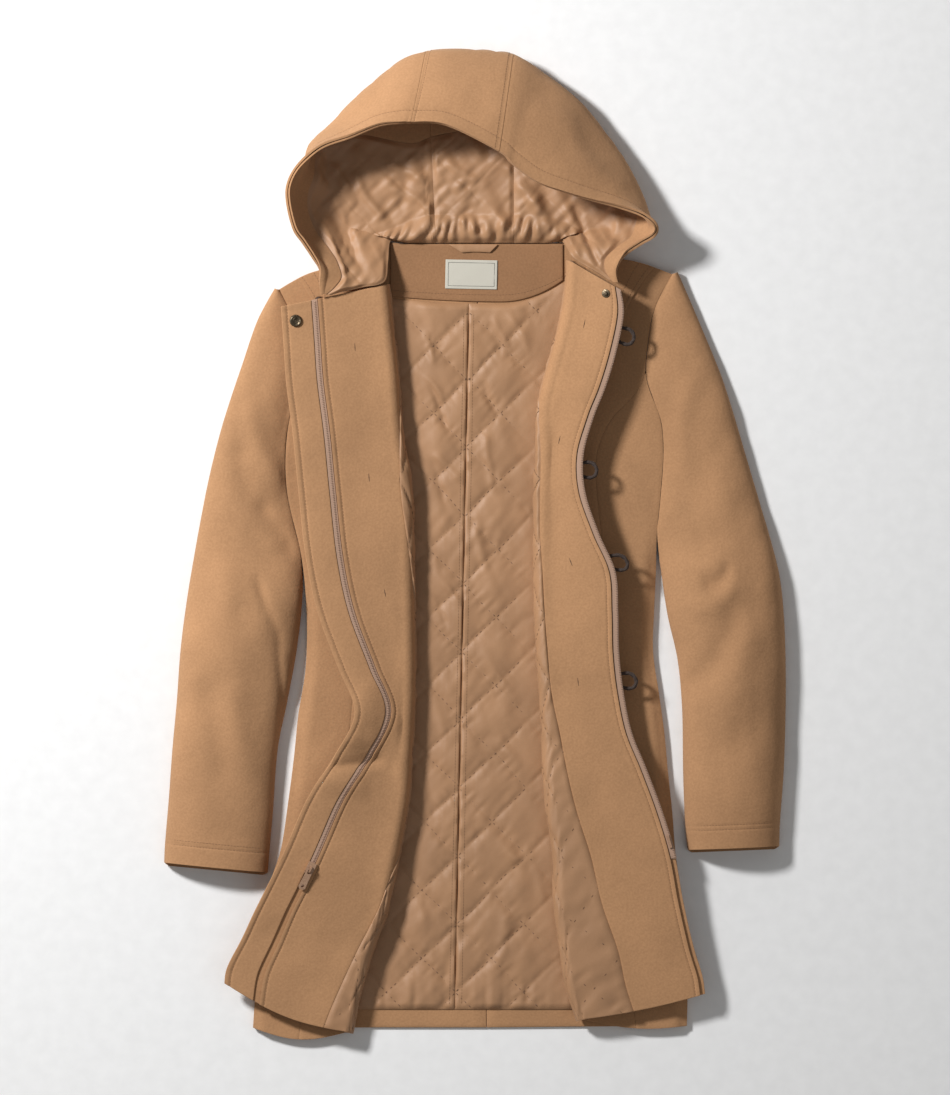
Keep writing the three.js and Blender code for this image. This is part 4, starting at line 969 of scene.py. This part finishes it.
sleeve = {"edge": 6, "seam": 0.005, "armholeGap": 0.7, "armholeAngle": 0.6, "corner": 0.2, "cuffStep": 3.5,
          "shoulder": 0.02}
sleeveColumns = "outerX outerY innerX innerY height joined"
sleeves = {
    "right": {
        "head": readTable("outerX outerY height", [
            (-219, 285, 12), (-238, 250, 16), (-254, 204, 20), (-277, 134, 23), (-294, 65, 26),
            (-308, -10, 29)]),
        "arm": [
            (-316, -58, -189, -58, 32), (-323, -113, -195, -113, 34), (-327, -168, -205, -168, 34),
            (-332, -223, -216, -223, 33), (-336, -278, -221, -289, 31), (-340, -325, -225, -334, 29),
            (-341, -347, -227, -358, 28)],
        "cuts": {"top": (0.15, 0.645, 0.0718), "under": (0.135, 0.645, 0.0672)},
        "creases": [
            (-263, 113, -225, 35, 13, -2.6), (-246, 160, -216, 60, 12, 2.2),
            (-305, -156, -265, -256, 16, -2.6), (-272, -150, -243, -250, 14, 2.0),
            (-236, -34, -214, -108, 5, -2.4), (-214, -108, -213, -195, 4, -1.8),
            (-230, 52, -204, -12, 10, -2.0), (-292, -10, -254, -140, 20, 2.2),
            (-252, 225, -262, 150, 14, -1.2), (-318, -90, -300, -150, 18, 1.4),
            (-320, -250, -290, -330, 16, 1.2),
        ],
    },
    "left": {
        "head": readTable("outerX outerY height", [
            (224, 303, 12), (240, 266, 16), (256, 228, 19), (273, 186, 22), (287, 142, 24), (299, 101, 26),
            (312, 57, 28), (325, 13, 30)]),
        "arm": [
            (336, -30, 206, -28, 32), (341, -75, 213, -75, 34), (343, -124, 224, -124, 34),
            (343, -179, 229, -179, 33), (341, -245, 230, -245, 32), (337, -300, 232, -300, 31),
            (336, -329, 235, -333, 30)],
        "cuts": {"top": (0.15, 0.645, 0.0722), "under": (0.135, 0.645, 0.0674)},
        "creases": [
            (252, -41, 284, -27, 9, -3.2), (236, -168, 290, -62, 15, -3.0), (240, -72, 288, -44, 9, 2.4),
            (262, -196, 306, -84, 20, 2.4), (250, 128, 266, 0, 22, -1.4), (228, 180, 238, 74, 12, 1.5),
            (250, -234, 322, -196, 18, -1.2), (314, 40, 326, -60, 16, 1.2), (240, -250, 250, -310, 12, 1.2),
        ],
    },
}


def sleeveRows(side, table):
    head, arm = sleeves[side]["head"], sleeves[side]["arm"]
    places = np.concatenate([[sleeve["shoulder"]], np.arange(0.5, len(head["outerX"]) - 0.99, 0.5)])
    outer = rowsAt(head, places)
    inner = rowsAt(table, places)
    # the first row meets the armhole on the straight line between its first two stations
    ends = rowsAt(table, np.array([0.0, 0.5]))
    for name in ("sideX", "sideY"):
        inner[name][0] = mix(ends[name][0], ends[name][1], 2 * sleeve["shoulder"])
    columns = (outer["outerX"], outer["outerY"], inner["sideX"], inner["sideY"], outer["height"])
    rows = [(*(column[k, 0] for column in columns), 1) for k in range(len(places))]
    rows += [(*row, 0) for row in arm]
    return readTable(sleeveColumns, rows)


def sleevePoint(row, path, upper):
    inner = stack(row["innerX"], row["innerY"])
    outer = stack(row["outerX"], row["outerY"])
    outward = unit(outer - inner)
    joined = np.clip(row["joined"], 0, 1)
    gap = sleeve["armholeGap"] if upper else cloth["gap"]
    inner = inner + outward * mix(flat, gap, joined)[..., None]
    outer = outer - outward * flat
    width = np.linalg.norm(outer - inner, axis=-1)
    if upper:
        start = sleeve["armholeAngle"] * joined
        angle = mix(start, math.pi, path)
        across = (np.cos(start) - np.cos(angle)) / (np.cos(start) + 1)
        edge = mix(mix(sleeve["edge"], frontLow, joined), sleeve["edge"], across)
        dome = np.sin(angle) - np.sin(start) * (1 - across)
        plan = mix(inner, outer, across[..., None])
        return stack(plan[..., 0], plan[..., 1], edge + (row["height"] - edge) * dome)
    corner = sleeve["edge"] - flat
    part = sleeve["corner"]
    innerCorner = corner * (1 - joined)
    innerPart = np.maximum(part * (1 - joined), 0.001)
    first = np.clip(path / part, 0, 1) * math.pi / 2
    last = np.clip((path - 1 + innerPart) / innerPart, 0, 1) * math.pi / 2
    run = mix(corner, width - innerCorner, (path - part) / (1 - part - innerPart))
    run = np.where(path < part, corner * (1 - np.cos(first)), run)
    run = np.where(path > 1 - innerPart, width - innerCorner * (1 - np.sin(last)), run)
    rise = np.where(path < part, corner * (1 - np.sin(first)), 0)
    rise = np.where(path > 1 - innerPart, innerCorner * (1 - np.cos(last)), rise)
    plan = outer - outward * run[..., None]
    return stack(plan[..., 0], plan[..., 1], flat + rise)


def makeSleeve(side, table):
    rows = sleeveRows(side, table)
    count = len(rows["outerX"]) - 1
    places = np.concatenate([np.linspace(0, count - 1, 120)[:-1], np.linspace(count - 1, count, 30)])
    row = rowsAt(rows, places)
    seam = sleeve["seam"]
    ends = [np.full_like(row["height"], seam), np.full_like(row["height"], 1 - seam)]
    path = spreadBetween(ends, [48])
    points = sleevePoint(row, path, True)
    x, y = points[..., 0], points[..., 1]
    seed = 51 if side == "right" else 52
    toCuff = arcLengths(points, 0)[-1:] - arcLengths(points, 0)
    fade = smooth(path / 0.1) * smooth((1 - path) / 0.12)
    relief = 1.35 * creasesAt(x, y, sleeves[side]["creases"]) + 1.4 * noiseAt(x / 34, y / 48, seed)
    relief = relief + 0.55 * noiseAt(x / 17, y / 22, seed + 5)
    quietCuff = mix(0.25, 1, smooth((toCuff - 25) / 30))
    grooves = grooveAt(toCuff, 21, 1.2, 0.5) + grooveAt(toCuff, 26, 1.2, 0.5)
    points = offsetUp(points, fade * quietCuff * relief + grooves)
    clothPiece(f"topSleeve_{side}", points, cloth["wool"], wool, [f"top_sleeve_{side}"],
               roll=0.4)
    top = points + (0, 0, flat)
    for distance in (21, 26):
        line = np.array([[np.interp(-distance, -toCuff[:, j], top[:, j, k]) for k in range(3)]
                         for j in range(2, top.shape[1] - 2)])
        addRun(line, upwards(line))
    path = spreadBetween(ends, [16])
    atCuff = smooth(places[:, None] - count + 1) * smooth(path / 0.2) * smooth((1 - path) / 0.2)
    points = sleevePoint(row, path, False)
    points[..., 1] -= sleeve["cuffStep"] * atCuff
    clothPiece(f"underSleeve_{side}", points, cloth["wool"], wool, [f"under_sleeve_{side}"])


def offsetUp(points, heights):
    result = points.copy()
    result[..., 2] += heights
    return result


makeSleeve("right", rightFront)
makeSleeve("left", leftFront)

print("hood")

ribs = readTable("rimX rimY rimZ sideX sideY sideZ tuck floor neckX neckY neckZ facing", [
    (-169, 277, 38, -166, 278, 37.5, 37, 36, -157, 277.4, 35, 6),
    (-170, 291, 41, -164, 289, 38, 37, 35, -143, 280.6, 33.5, 18),
    (-170, 305, 45, -163, 302, 39, 36, 32, -121, 285.4, 30, 28),
    (-178, 319, 49, -171, 314, 39, 35, 28, -99, 290.6, 26.5, 36),
    (-188, 334, 52, -180, 328, 38, 28, 18, -95, 312, 16, 42),
    (-198, 349, 55, -190, 344, 37, 20, 8, -92, 336, 4, 45),
    (-205, 378, 58, -196, 371, 36, 14, 1.3, -78, 335.4, 1.3, 45),
    (-204, 399, 60, -195, 392, 35, 13, 1.3, -70, 334.8, 1.3, 45),
    (-192, 420, 62, -186, 410, 33, 12, 1.3, -62, 334.8, 1.3, 45),
    (-168, 440, 66, -180, 440, 25, 6, 1.3, -56, 334.8, 1.3, 55),
    (-136, 451, 70, -153, 468, 20, 4, 1.3, -51, 334.8, 1.3, 80),
    (-104, 463, 74, -123, 499, 20, 3, 1.3, -46, 334.8, 1.3, 130),
    (-80, 465, 76, -84, 532, 20, 3, 1.3, -44, 334.8, 1.3, 185),
    (-69, 465, 76, -52, 544, 20, 3, 1.3, -42, 334.8, 1.3, 200),
    (-30, 462, 78, -4, 546, 20, 3, 1.3, 1, 334.8, 1.3, 200),
    (28, 433, 76, 44, 541, 20, 3, 1.3, 44, 334.8, 1.3, 200),
    (43, 419, 74, 78, 519, 20, 3, 1.3, 53, 334.8, 1.3, 165),
    (69, 400, 71, 114, 492, 20, 3, 1.3, 61, 334.8, 1.3, 130),
    (100, 389, 68, 143, 457, 20, 4, 1.3, 70, 334.8, 1.3, 96),
    (128, 381, 64, 166, 424, 20, 5, 1.3, 79, 334.8, 1.3, 68),
    (160, 374, 60, 184, 388, 24, 8, 1.3, 87, 335.4, 1.3, 52),
    (185, 366, 57, 192, 364, 32, 14, 4, 93, 336, 2, 45),
    (200, 354, 54, 194, 349, 38, 22, 10, 98, 336, 6, 42),
    (199, 342, 51, 191, 338, 39, 30, 18, 103, 328, 16, 38),
    (183, 332, 48, 176, 329, 39, 33, 27, 107, 320, 26, 32),
    (166, 320, 45, 160, 318, 40, 36, 31, 121, 310, 29, 25),
    (157, 305, 41, 154, 304, 39, 37, 34, 136, 301.5, 32.5, 14),
    (158, 291, 38, 156, 291.5, 37.5, 37, 36, 149, 293.5, 35, 5),
])
lastRib = len(ribs["rimX"]) - 1
hood = {
    "puff": 0.12, "gap": 1.2, "mostFacing": 0.7, "roll": 8, "rollWidth": 31,
    "tuckPlace": 0.14, "floorPlace": 0.45,
    "cuts": {
        "right": {"wool": (0.32, 0.34, 0.0445), "facing": (0.19, 0.34, 0.023),
                  "lining": (0.16, 0.315, 0.0207)},
        "centre": {"wool": (0.34, 0.104, 0.0315), "facing": (0.192, 0.102, 0.0188),
                   "lining": (0.142, 0.093, 0.0118)},
        "left": {"wool": (0.34, 0.32, 0.046), "facing": (0.19, 0.325, 0.023),
                 "lining": (0.162, 0.307, 0.0211)},
    },
}


# Centripetal curve of each rib through rim, crown, side, tuck, floor and neck
def hoodCurves(row):
    rim = stack(row["rimX"], row["rimY"], row["rimZ"])[:, 0]
    side = stack(row["sideX"], row["sideY"], row["sideZ"])[:, 0]
    neck = stack(row["neckX"], row["neckY"], row["neckZ"])[:, 0]
    crown = (rim + side) / 2
    crown[:, 2] += hood["puff"] * np.linalg.norm((rim - side)[:, :2], axis=1)
    tuck = mix(side, neck, hood["tuckPlace"])
    tuck[:, 2] = row["tuck"][:, 0]
    floor = mix(side, neck, hood["floorPlace"])
    floor[:, 2] = row["floor"][:, 0]
    knots = np.stack([rim, crown, side, tuck, floor, neck], 1)
    ends = np.concatenate([2 * knots[:, :1] - knots[:, 1:2], knots, 2 * knots[:, -1:] - knots[:, -2:-1]], 1)
    pieces = []
    for k in range(5):
        p0, p1, p2, p3 = (ends[:, k + n] for n in range(4))
        d0, d1, d2 = (np.maximum(np.linalg.norm(b - a, axis=1, keepdims=True) ** 0.5, 1e-4)
                      for a, b in ((p0, p1), (p1, p2), (p2, p3)))
        m1 = ((p1 - p0) / d0 - (p2 - p0) / (d0 + d1) + (p2 - p1) / d1) * d1
        m2 = ((p2 - p1) / d1 - (p3 - p1) / (d1 + d2) + (p3 - p2) / d2) * d1
        t = np.linspace(0, 1, 25)[None, (1 if k else 0):, None]
        p1, p2, m1, m2 = (v[:, None] for v in (p1, p2, m1, m2))
        pieces.append(p1 + m1 * t + (3 * (p2 - p1) - 2 * m1 - m2) * t ** 2
                      + (2 * (p1 - p2) + m1 + m2) * t ** 3)
    return np.concatenate(pieces, 1)


def alongCurves(curves, path):
    lengths = arcLengths(curves, 1)
    result = np.empty((*path.shape, 3))
    for i in range(len(curves)):
        where = path[i] * lengths[i, -1]
        for k in range(3):
            result[i, :, k] = np.interp(where, lengths[i], curves[i, :, k])
    result[..., 2] = np.maximum(result[..., 2], flat)
    return result


hoodSatin = {
    "gather": 13.5, "cross": (-4.4, 392.7), "lowest": 3.4,
    "folds": [
        (-160, 420, -134, 395, 5, 3.0), (-132, 411, -103, 364, 5, 3.2), (-157, 384, -123, 333, 6, 3.0),
        (-141, 361, -127, 305, 5, -2.6), (-172, 353, -143, 288, 5, 3.0), (-92, 423, -56, 400, 5, 2.8),
        (-90, 400, -47, 367, 6, 3.2), (-76, 437, -81, 365, 6, -2.4), (50, 400, 72, 365, 7, 4.2),
        (60, 384, 84, 352, 6, 3.4), (98, 376, 136, 305, 5, 2.6), (111, 376, 139, 305, 4, -2.4),
        (166, 365, 144, 307, 5, 2.6), (-30, 420, 6, 404, 5, 2.2), (-38, 372, -8, 360, 5, 2.0),
        (10, 384, 36, 352, 6, 2.4), (20, 430, 44, 408, 6, 2.2),
    ],
}
hoodCreases = [
    (-188, 395, -150, 440, 10, 1.6), (-150, 470, -110, 500, 9, 1.2), (-120, 480, -90, 520, 8, -1.0),
    (60, 480, 120, 440, 14, 1.4), (90, 500, 150, 430, 12, -1.2), (110, 430, 170, 395, 10, 1.2),
    (-20, 500, 20, 460, 12, 0.9),
]


def hoodPanel(side, first, last, rows):
    places = np.linspace(first, last, rows)
    row = rowsAt(ribs, places)
    curves = hoodCurves(row)
    reach = arcLengths(curves, 1)[:, -1:]
    facingEnd = np.minimum(hood["mostFacing"], row["facing"] / reach)
    zero, one = np.zeros_like(reach), np.ones_like(reach)
    # the rows that lie on a seam with the centre panel
    seamRows = [k for k, used in ((0, first > 0), (-1, last < lastRib)) if used]
    seams = {"last" if k else "first": seamGap for k in seamRows}

    def toSeams(points, far):
        nearest = np.full(points.shape[:2], far)
        for k in seamRows:
            nearest = np.minimum(nearest, np.linalg.norm(points - points[k][None], axis=-1))
        return nearest

    def shape(path):
        points = alongCurves(curves, path)
        x, y = points[..., 0], points[..., 1]
        distance = path * reach
        outside = smooth((distance - 4) / 14) * smooth((points[..., 2] - 12) / 18)
        relief = creasesAt(x, y, hoodCreases) + 0.9 * noiseAt(x / 26, y / 26, 61)
        return points, outside * relief, distance

    # Outer wool, with a stitch line inside the rim and beside the gusset seams
    fine = [0, 0.5, 1.4, 3, 5, 8, 10.5, 12, 13, 13.8, 14.6, 15.6, 17, 20]
    near = np.concatenate([np.minimum(d / reach, 0.3 + d * 1e-3) for d in fine], 1)
    path = np.concatenate([near, spreadBetween([near[:, -1:], one], [40])[:, 1:]], 1)
    points, relief, distance = shape(path)
    normal = normalsOf(points)
    grooves = grooveAt(distance, 13.8, 1.2, 0.6) + grooveAt(toSeams(points, 1e3), 3.6, 1.0, 0.45)
    outer = points + normal * (relief + grooves)[..., None]
    outer[..., 2] = np.maximum(outer[..., 2], flat)
    clothPiece(f"hoodWool_{side}", drawBack(outer, seams), cloth["wool"], wool, [f"hood_{side}"],
               roll=0.42)
    addRun(outer[:, 9] + normal[:, 9] * flat, normal[:, 9])
    if side == "centre":
        for line in (4, -5):
            top = outer[line] + normal[line] * flat
            kept = top[:, 2] > 12
            addRun(top[kept], normal[line][kept])

    # Facing inside the rim
    inside = -flat - hood["gap"]
    path = spreadBetween([zero, facingEnd], [30])
    points, relief, _ = shape(path)
    facing = points + normalsOf(points) * (relief + inside - cloth["facing"] / 2)[..., None]
    clothPiece(f"hoodFacing_{side}", drawBack(facing, {**seams, "end": 0.2}), cloth["facing"], facingWool,
               [f"hood_facing_{side}"], roll=0.45)

    # Satin lining with folds, quilting and a gathered roll at the neck
    path = spreadBetween([facingEnd, one], [76])
    points, relief, distance = shape(path)
    x, y = points[..., 0], points[..., 1]
    toNeck = reach - distance
    fromFacing = distance - facingEnd * reach
    onFloor = smooth((4 - row["floor"]) / 2)
    toGusset = toSeams(points, 99.0)
    slant = 0.5 * toNeck * noiseAt(x / 40, 0 * x, 69)
    wave = np.sin(2 * math.pi * (x + slant) / hoodSatin["gather"] + 3.4 * noiseAt(x / 24, toNeck / 45, 62))
    depthOfWave = 0.17 + 0.16 * noiseAt(x / 15, toNeck / 30, 66)
    gather = 0.75 + depthOfWave * wave + 0.1 * noiseAt((x + slant) / 4.5, toNeck / 16, 70)
    hump = np.maximum(np.sin(math.pi * np.clip(toNeck / hood["rollWidth"], 0, 1)), 0)
    roll = hood["roll"] * hump * onFloor
    centreX, centreY = hoodSatin["cross"]
    s = (x - centreX + y - centreY) / quilt["diamond"] + 0.04 * noiseAt(x / 25, y / 25, 67)
    t = (x - centreX - y + centreY) / quilt["diamond"] + 0.04 * noiseAt(x / 25, y / 25, 68)
    toLine = np.minimum(fromLine(s), fromLine(t))
    puff = 1.6 - 0.9 * np.exp(-toLine / 1.7)
    folds = 2.6 * noiseAt((x + 0.5 * y) / 13, (y - 0.4 * x) / 40, 63)
    folds = folds + 1.3 * noiseAt((x - y) / 9, (x + y) / 24, 64)
    puckers = 0.8 * noiseAt(distance / 5.5, places[:, None] * 2, 65) * np.exp(-toGusset / 8)
    depth = puff + folds + puckers + creasesAt(x, y, hoodSatin["folds"]) + 1.2
    depth = np.maximum(depth, -0.2) * smooth(fromFacing / 7) * smooth(toNeck / 6)
    depth = depth * (0.25 + 0.75 * smooth(toGusset / 6))
    satinPoints = points + normalsOf(points) * (relief + inside - cloth["satin"] / 2 - depth)[..., None]
    satinPoints[..., 2] = np.maximum(satinPoints[..., 2] + roll * gather, hoodSatin["lowest"])
    clothPiece(f"hoodLining_{side}", drawBack(satinPoints, {**seams, "start": 0.2}), cloth["satin"], satin,
               [f"hood_lining_{side}"])


hoodPanel("right", 0, 13, 124)
hoodPanel("centre", 13, 15, 64)
hoodPanel("left", 15, lastRib, 114)

print("fastenings")


# Origin and axes on the inner face of a front: across, along towards the neck, out
def frameOnFront(side, place, distance, inner, height):
    table = rightFront if side == "right" else leftFront

    def at(where, offset):
        row = rowsAt(table, np.array([where - 0.05, where, where + 0.05]))
        paths = np.concatenate([fromFree(row, distance + d) for d in (0.5, 0, -0.5)], 1)
        points = frontPoint(row, paths)
        points[..., 2] += frontRelief(side, points) * smooth((paths - 2) / 0.15)
        return points[1, 1] + normalsOf(points)[1, 1] * offset

    origin = at(place, inner * height)
    along = unit(at(place - 0.25, 0) - at(place + 0.25, 0))
    out = unit(origin - at(place, 0))
    across = unit(np.cross(along, out))
    return origin, across, np.cross(out, across), out


# A profile of radius and height, spun by the screw of a lathe and set in a frame
def turnedPiece(name, profile, frameAt, material, nodes):
    origin, across, along, out = frameAt
    steps = 40
    angles = np.arange(steps) * 2 * math.pi / steps
    rings = [origin + r * (np.cos(angles)[:, None] * across + np.sin(angles)[:, None] * along) + h * out
             for r, h in profile]
    points = np.concatenate(rings)
    faces = []
    for ring in range(len(profile) - 1):
        for k in range(steps):
            a, b = ring * steps + k, ring * steps + (k + 1) % steps
            faces.append((a, b, b + steps, a + steps))
    faces.append(tuple(range(steps))[::-1])
    faces.append(tuple(range((len(profile) - 1) * steps, len(profile) * steps)))
    return meshPiece(name, points, faces, material, nodes)


def meshPiece(name, points, faces, material, nodes, angle=35):
    piece = meshObject(name, points, faces, merge=True)
    bpy.ops.object.shade_smooth_by_angle(angle=math.radians(angle))
    return finishPiece(piece, material, nodes)


onFacing = onWool + cloth["facing"] + cloth["gap"]
socketProfile = [(2.4, 0), (6.2, 0), (6.7, 0.5), (6.7, 1.2), (6.2, 1.9), (5.4, 2.4), (4.6, 2.2), (3.9, 1.6),
                 (3.3, 1.5), (2.9, 1.9), (2.5, 1.8), (2.3, 1.2), (2.2, 0.6)]
turnedPiece("snapSocket", socketProfile, frameOnFront("right", 0.5, 15, -1, onFacing), brass,
            ["snap_socket"])
studProfile = [(4.2, 0), (4.6, 0.3), (4.5, 0.7), (3.6, 1.0), (2.4, 1.1), (1.9, 1.6), (2.0, 2.3), (2.3, 2.8),
               (2.0, 3.2), (1.2, 3.35)]
turnedPiece("snapStud", studProfile, frameOnFront("left", 0.5, 18, 1, onFacing), brass,
            ["snap_stud"])


# Buttonhole slits at their places on the facing, each seen from above
slitPlaces = {
    "right": [(-131, 219), (-115.5, 76), (-98, -49.5)],
    "left": [(122, 244), (94.6, 117.7), (106.7, -16.5), (114.4, -147.4)],
}
for side, inner in (("right", -1), ("left", 1)):
    places = np.arange(0.3, 13, 0.05)
    insets = np.arange(8, 86, 1.0)
    row = rowsAt(rightFront if side == "right" else leftFront, places)
    plan = frontPoint(row, 3 - insets[None, :] / upperLength(row))
    spots, ways, outs = [], [], []
    for x, y in slitPlaces[side]:
        nearest = np.argmin(np.hypot(plan[..., 0] - x, plan[..., 1] - y))
        i, j = np.unravel_index(nearest, plan.shape[:2])
        height = onFacing - cloth["gap"] + 0.1
        origin, across, along, out = frameOnFront(side, places[i], insets[j], inner, height)
        spots.append(origin)
        ways.append(along)
        outs.append(out)
    barsAt(f"slits_{side}", np.array(spots), np.array(ways), np.array(outs), np.full(len(spots), 9.0),
           0.9, 0.6, slitThread)

# Dark cord loops under the left front's edge: closed tubes that look twisted from two strands


def tubeAlong(name, centre, radius, material, nodes):
    steps = 14
    count = len(centre)
    ahead = unit(np.roll(centre, -1, 0) - np.roll(centre, 1, 0))
    normal = unit(np.cross(ahead, np.cross(centre - centre.mean(0), ahead)))
    other = np.cross(ahead, normal)
    angles = np.arange(steps) * 2 * math.pi / steps
    twist = arcLengths(centre, 0)[:, None] / 2.4
    swell = 1 + 0.1 * np.cos(2 * (angles[None] - twist))
    ring = radius * swell * np.cos(angles)[None], radius * swell * np.sin(angles)[None]
    points = (centre[:, None] + ring[0][..., None] * normal[:, None] + ring[1][..., None] * other[:, None])
    faces = []
    for i in range(count):
        for k in range(steps):
            a, b = i * steps + k, i * steps + (k + 1) % steps
            c, d = ((i + 1) % count) * steps + (k + 1) % steps, ((i + 1) % count) * steps + k
            faces.append((a, b, c, d))
    return meshPiece(name, points.reshape(-1, 3), faces, material, nodes, angle=60)


loop = {"radius": 8.5, "cord": 2.0, "inside": 8, "places": [(1.5, 0), (5.5, 4), (8.0, 10), (11.0, 12)]}
for k, (place, shift) in enumerate(loop["places"]):
    row = rowsAt(leftFront, np.array([place - 0.5, place, place + 0.5]))
    edge = frontPoint(row, np.full((3, 1), 3.0))[:, 0]
    along = unit(edge[0] - edge[2])
    angles = np.linspace(0, 2 * math.pi, 72, endpoint=False)
    tail = loop["inside"] * np.maximum(0, -np.cos(angles))
    inside = tail - loop["radius"] * (1 + np.cos(angles))
    near = rowsAt(leftFront, np.array([place - 0.1, place, place + 0.1]))
    paths = 3 - inside[None, :] / upperLength(near)
    sheet = frontPoint(near, paths)
    low = offsetBy(sheet, -(flat + cloth["gap"] + loop["cord"]))[1]
    # normals come from the open part of the edge, so the ring stays under the cloth
    plane = frontPoint(near, np.broadcast_to(fromFree(near, 2.0), (3, 1)) + np.array([[-0.01, 0, 0.01]]))
    down = normalsOf(plane)[1, 1] * -(flat + cloth["gap"] + loop["cord"])
    centre = sheet[1] + down + along * (shift + loop["radius"] * np.sin(angles))[:, None]
    tubeAlong(f"cordLoop_{k + 1}", centre, loop["cord"], cordCloth, [f"cord_loop_{k + 1}"])

# Toggles and their cords between the two legs of the right front
toggle = {"radius": 6.5, "waist": 5, "length": 45, "cord": 1.5, "inside": 42, "places": [0.5, 3.5, 5.0, 7.0]}
toggleRing = toggle["waist"] + cloth["gap"] + toggle["cord"]
toggleZ = frontLow + onWool + cloth["facing"] + cloth["gap"] + toggle["cord"] + toggleRing
ends = [(0.01, -0.5), (2.4, -0.495), (3.9, -0.48), (5.0, -0.45), (5.8, -0.38), (6.3, -0.29), (6.5, -0.2),
        (6.2, -0.14), (5.4, -0.09), (5.0, -0.06)]
togglePlan = ends + [(r, -z) for r, z in ends[::-1]]
for k, place in enumerate(toggle["places"]):
    row = rowsAt(rightFront, np.array([place - 0.1, place, place + 0.1]))
    paths = fromFree(row, toggle["inside"]) + np.array([[-0.01, 0, 0.01]])
    centre = offsetBy(frontPoint(row, paths), flat)[1, 1]
    origin = np.array([centre[0], centre[1], toggleZ])
    axes = (origin, np.array([1.0, 0, 0]), np.array([0, 0, 1.0]), np.array([0, 1.0, 0]))
    profile = [(r, z * toggle["length"]) for r, z in togglePlan]
    turnedPiece(f"togglePeg_{k + 1}", profile, axes, horn, [f"toggle_{k + 1}"])
    top = (centre[2] - toggleZ - 2 * cloth["gap"] - toggle["cord"]) / toggleRing
    corners = np.array([(0, -1), (0.71, -0.71), (1, 0), (0.8, 0.9), (0, top), (-0.8, 0.9), (-1, 0),
                        (-0.71, -0.71)])
    t = np.linspace(0, 8, 64, endpoint=False)
    index = np.floor(t).astype(int)
    f = (t - index)[:, None]
    a, b, c, d = (corners[(index + n) % 8] for n in (-1, 0, 1, 2))
    curve = b + 0.5 * f * (c - a + f * (2 * a - 5 * b + 4 * c - d + f * (3 * b - a - 3 * c + d)))
    ring = origin + np.stack([curve[:, 0], 0 * curve[:, 0], curve[:, 1]], -1) * toggleRing
    tubeAlong(f"toggleCord_{k + 1}", ring, toggle["cord"], cordCloth, [f"toggle_cord_{k + 1}"])

# Zip hardware keeps its solids, with painted metal
for node in ("zip_slider", "zip_pull", "zip_pin"):
    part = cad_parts[node]
    part.data.materials.clear()
    part.data.materials.append(tanMetal)

# Thread along the seam of the back lining
for points, column in ((liningRight, 3), (liningLeft, 3)):
    line = points[4:-2, column] + (0, 0, cloth["satin"] / 2)
    addRun(line, upwards(line))

spots = np.concatenate([run[0] for run in runs])
ways = np.concatenate([run[1] for run in runs])
outs = np.concatenate([run[2] for run in runs])
barsAt("topstitching", spots, ways, outs, np.full(len(spots), stitch["length"]), stitch["width"],
       stitch["height"], thread)
print("stitches", len(spots))

# Floor

bpy.ops.object.select_all(action="DESELECT")
bpy.ops.mesh.primitive_plane_add(size=9, location=(0, 0, -0.0006))
floor = bpy.context.object
nameOnly(floor, "floor")
material, shader, node, link = startMaterial("paleFloor")
place = node("ShaderNodeTexCoord").outputs["Object"]
grain = node("ShaderNodeTexNoise", {"Vector": place, "Scale": 60, "Detail": 3}).outputs["Fac"]
link(colourRamp(node, grain, [(0.3, (0.86, 0.86, 0.86)), (0.7, (0.9, 0.9, 0.9))]), shader.inputs["Base Color"])
setLook(shader, {"Roughness": 0.9})
floor.data.materials.append(material)
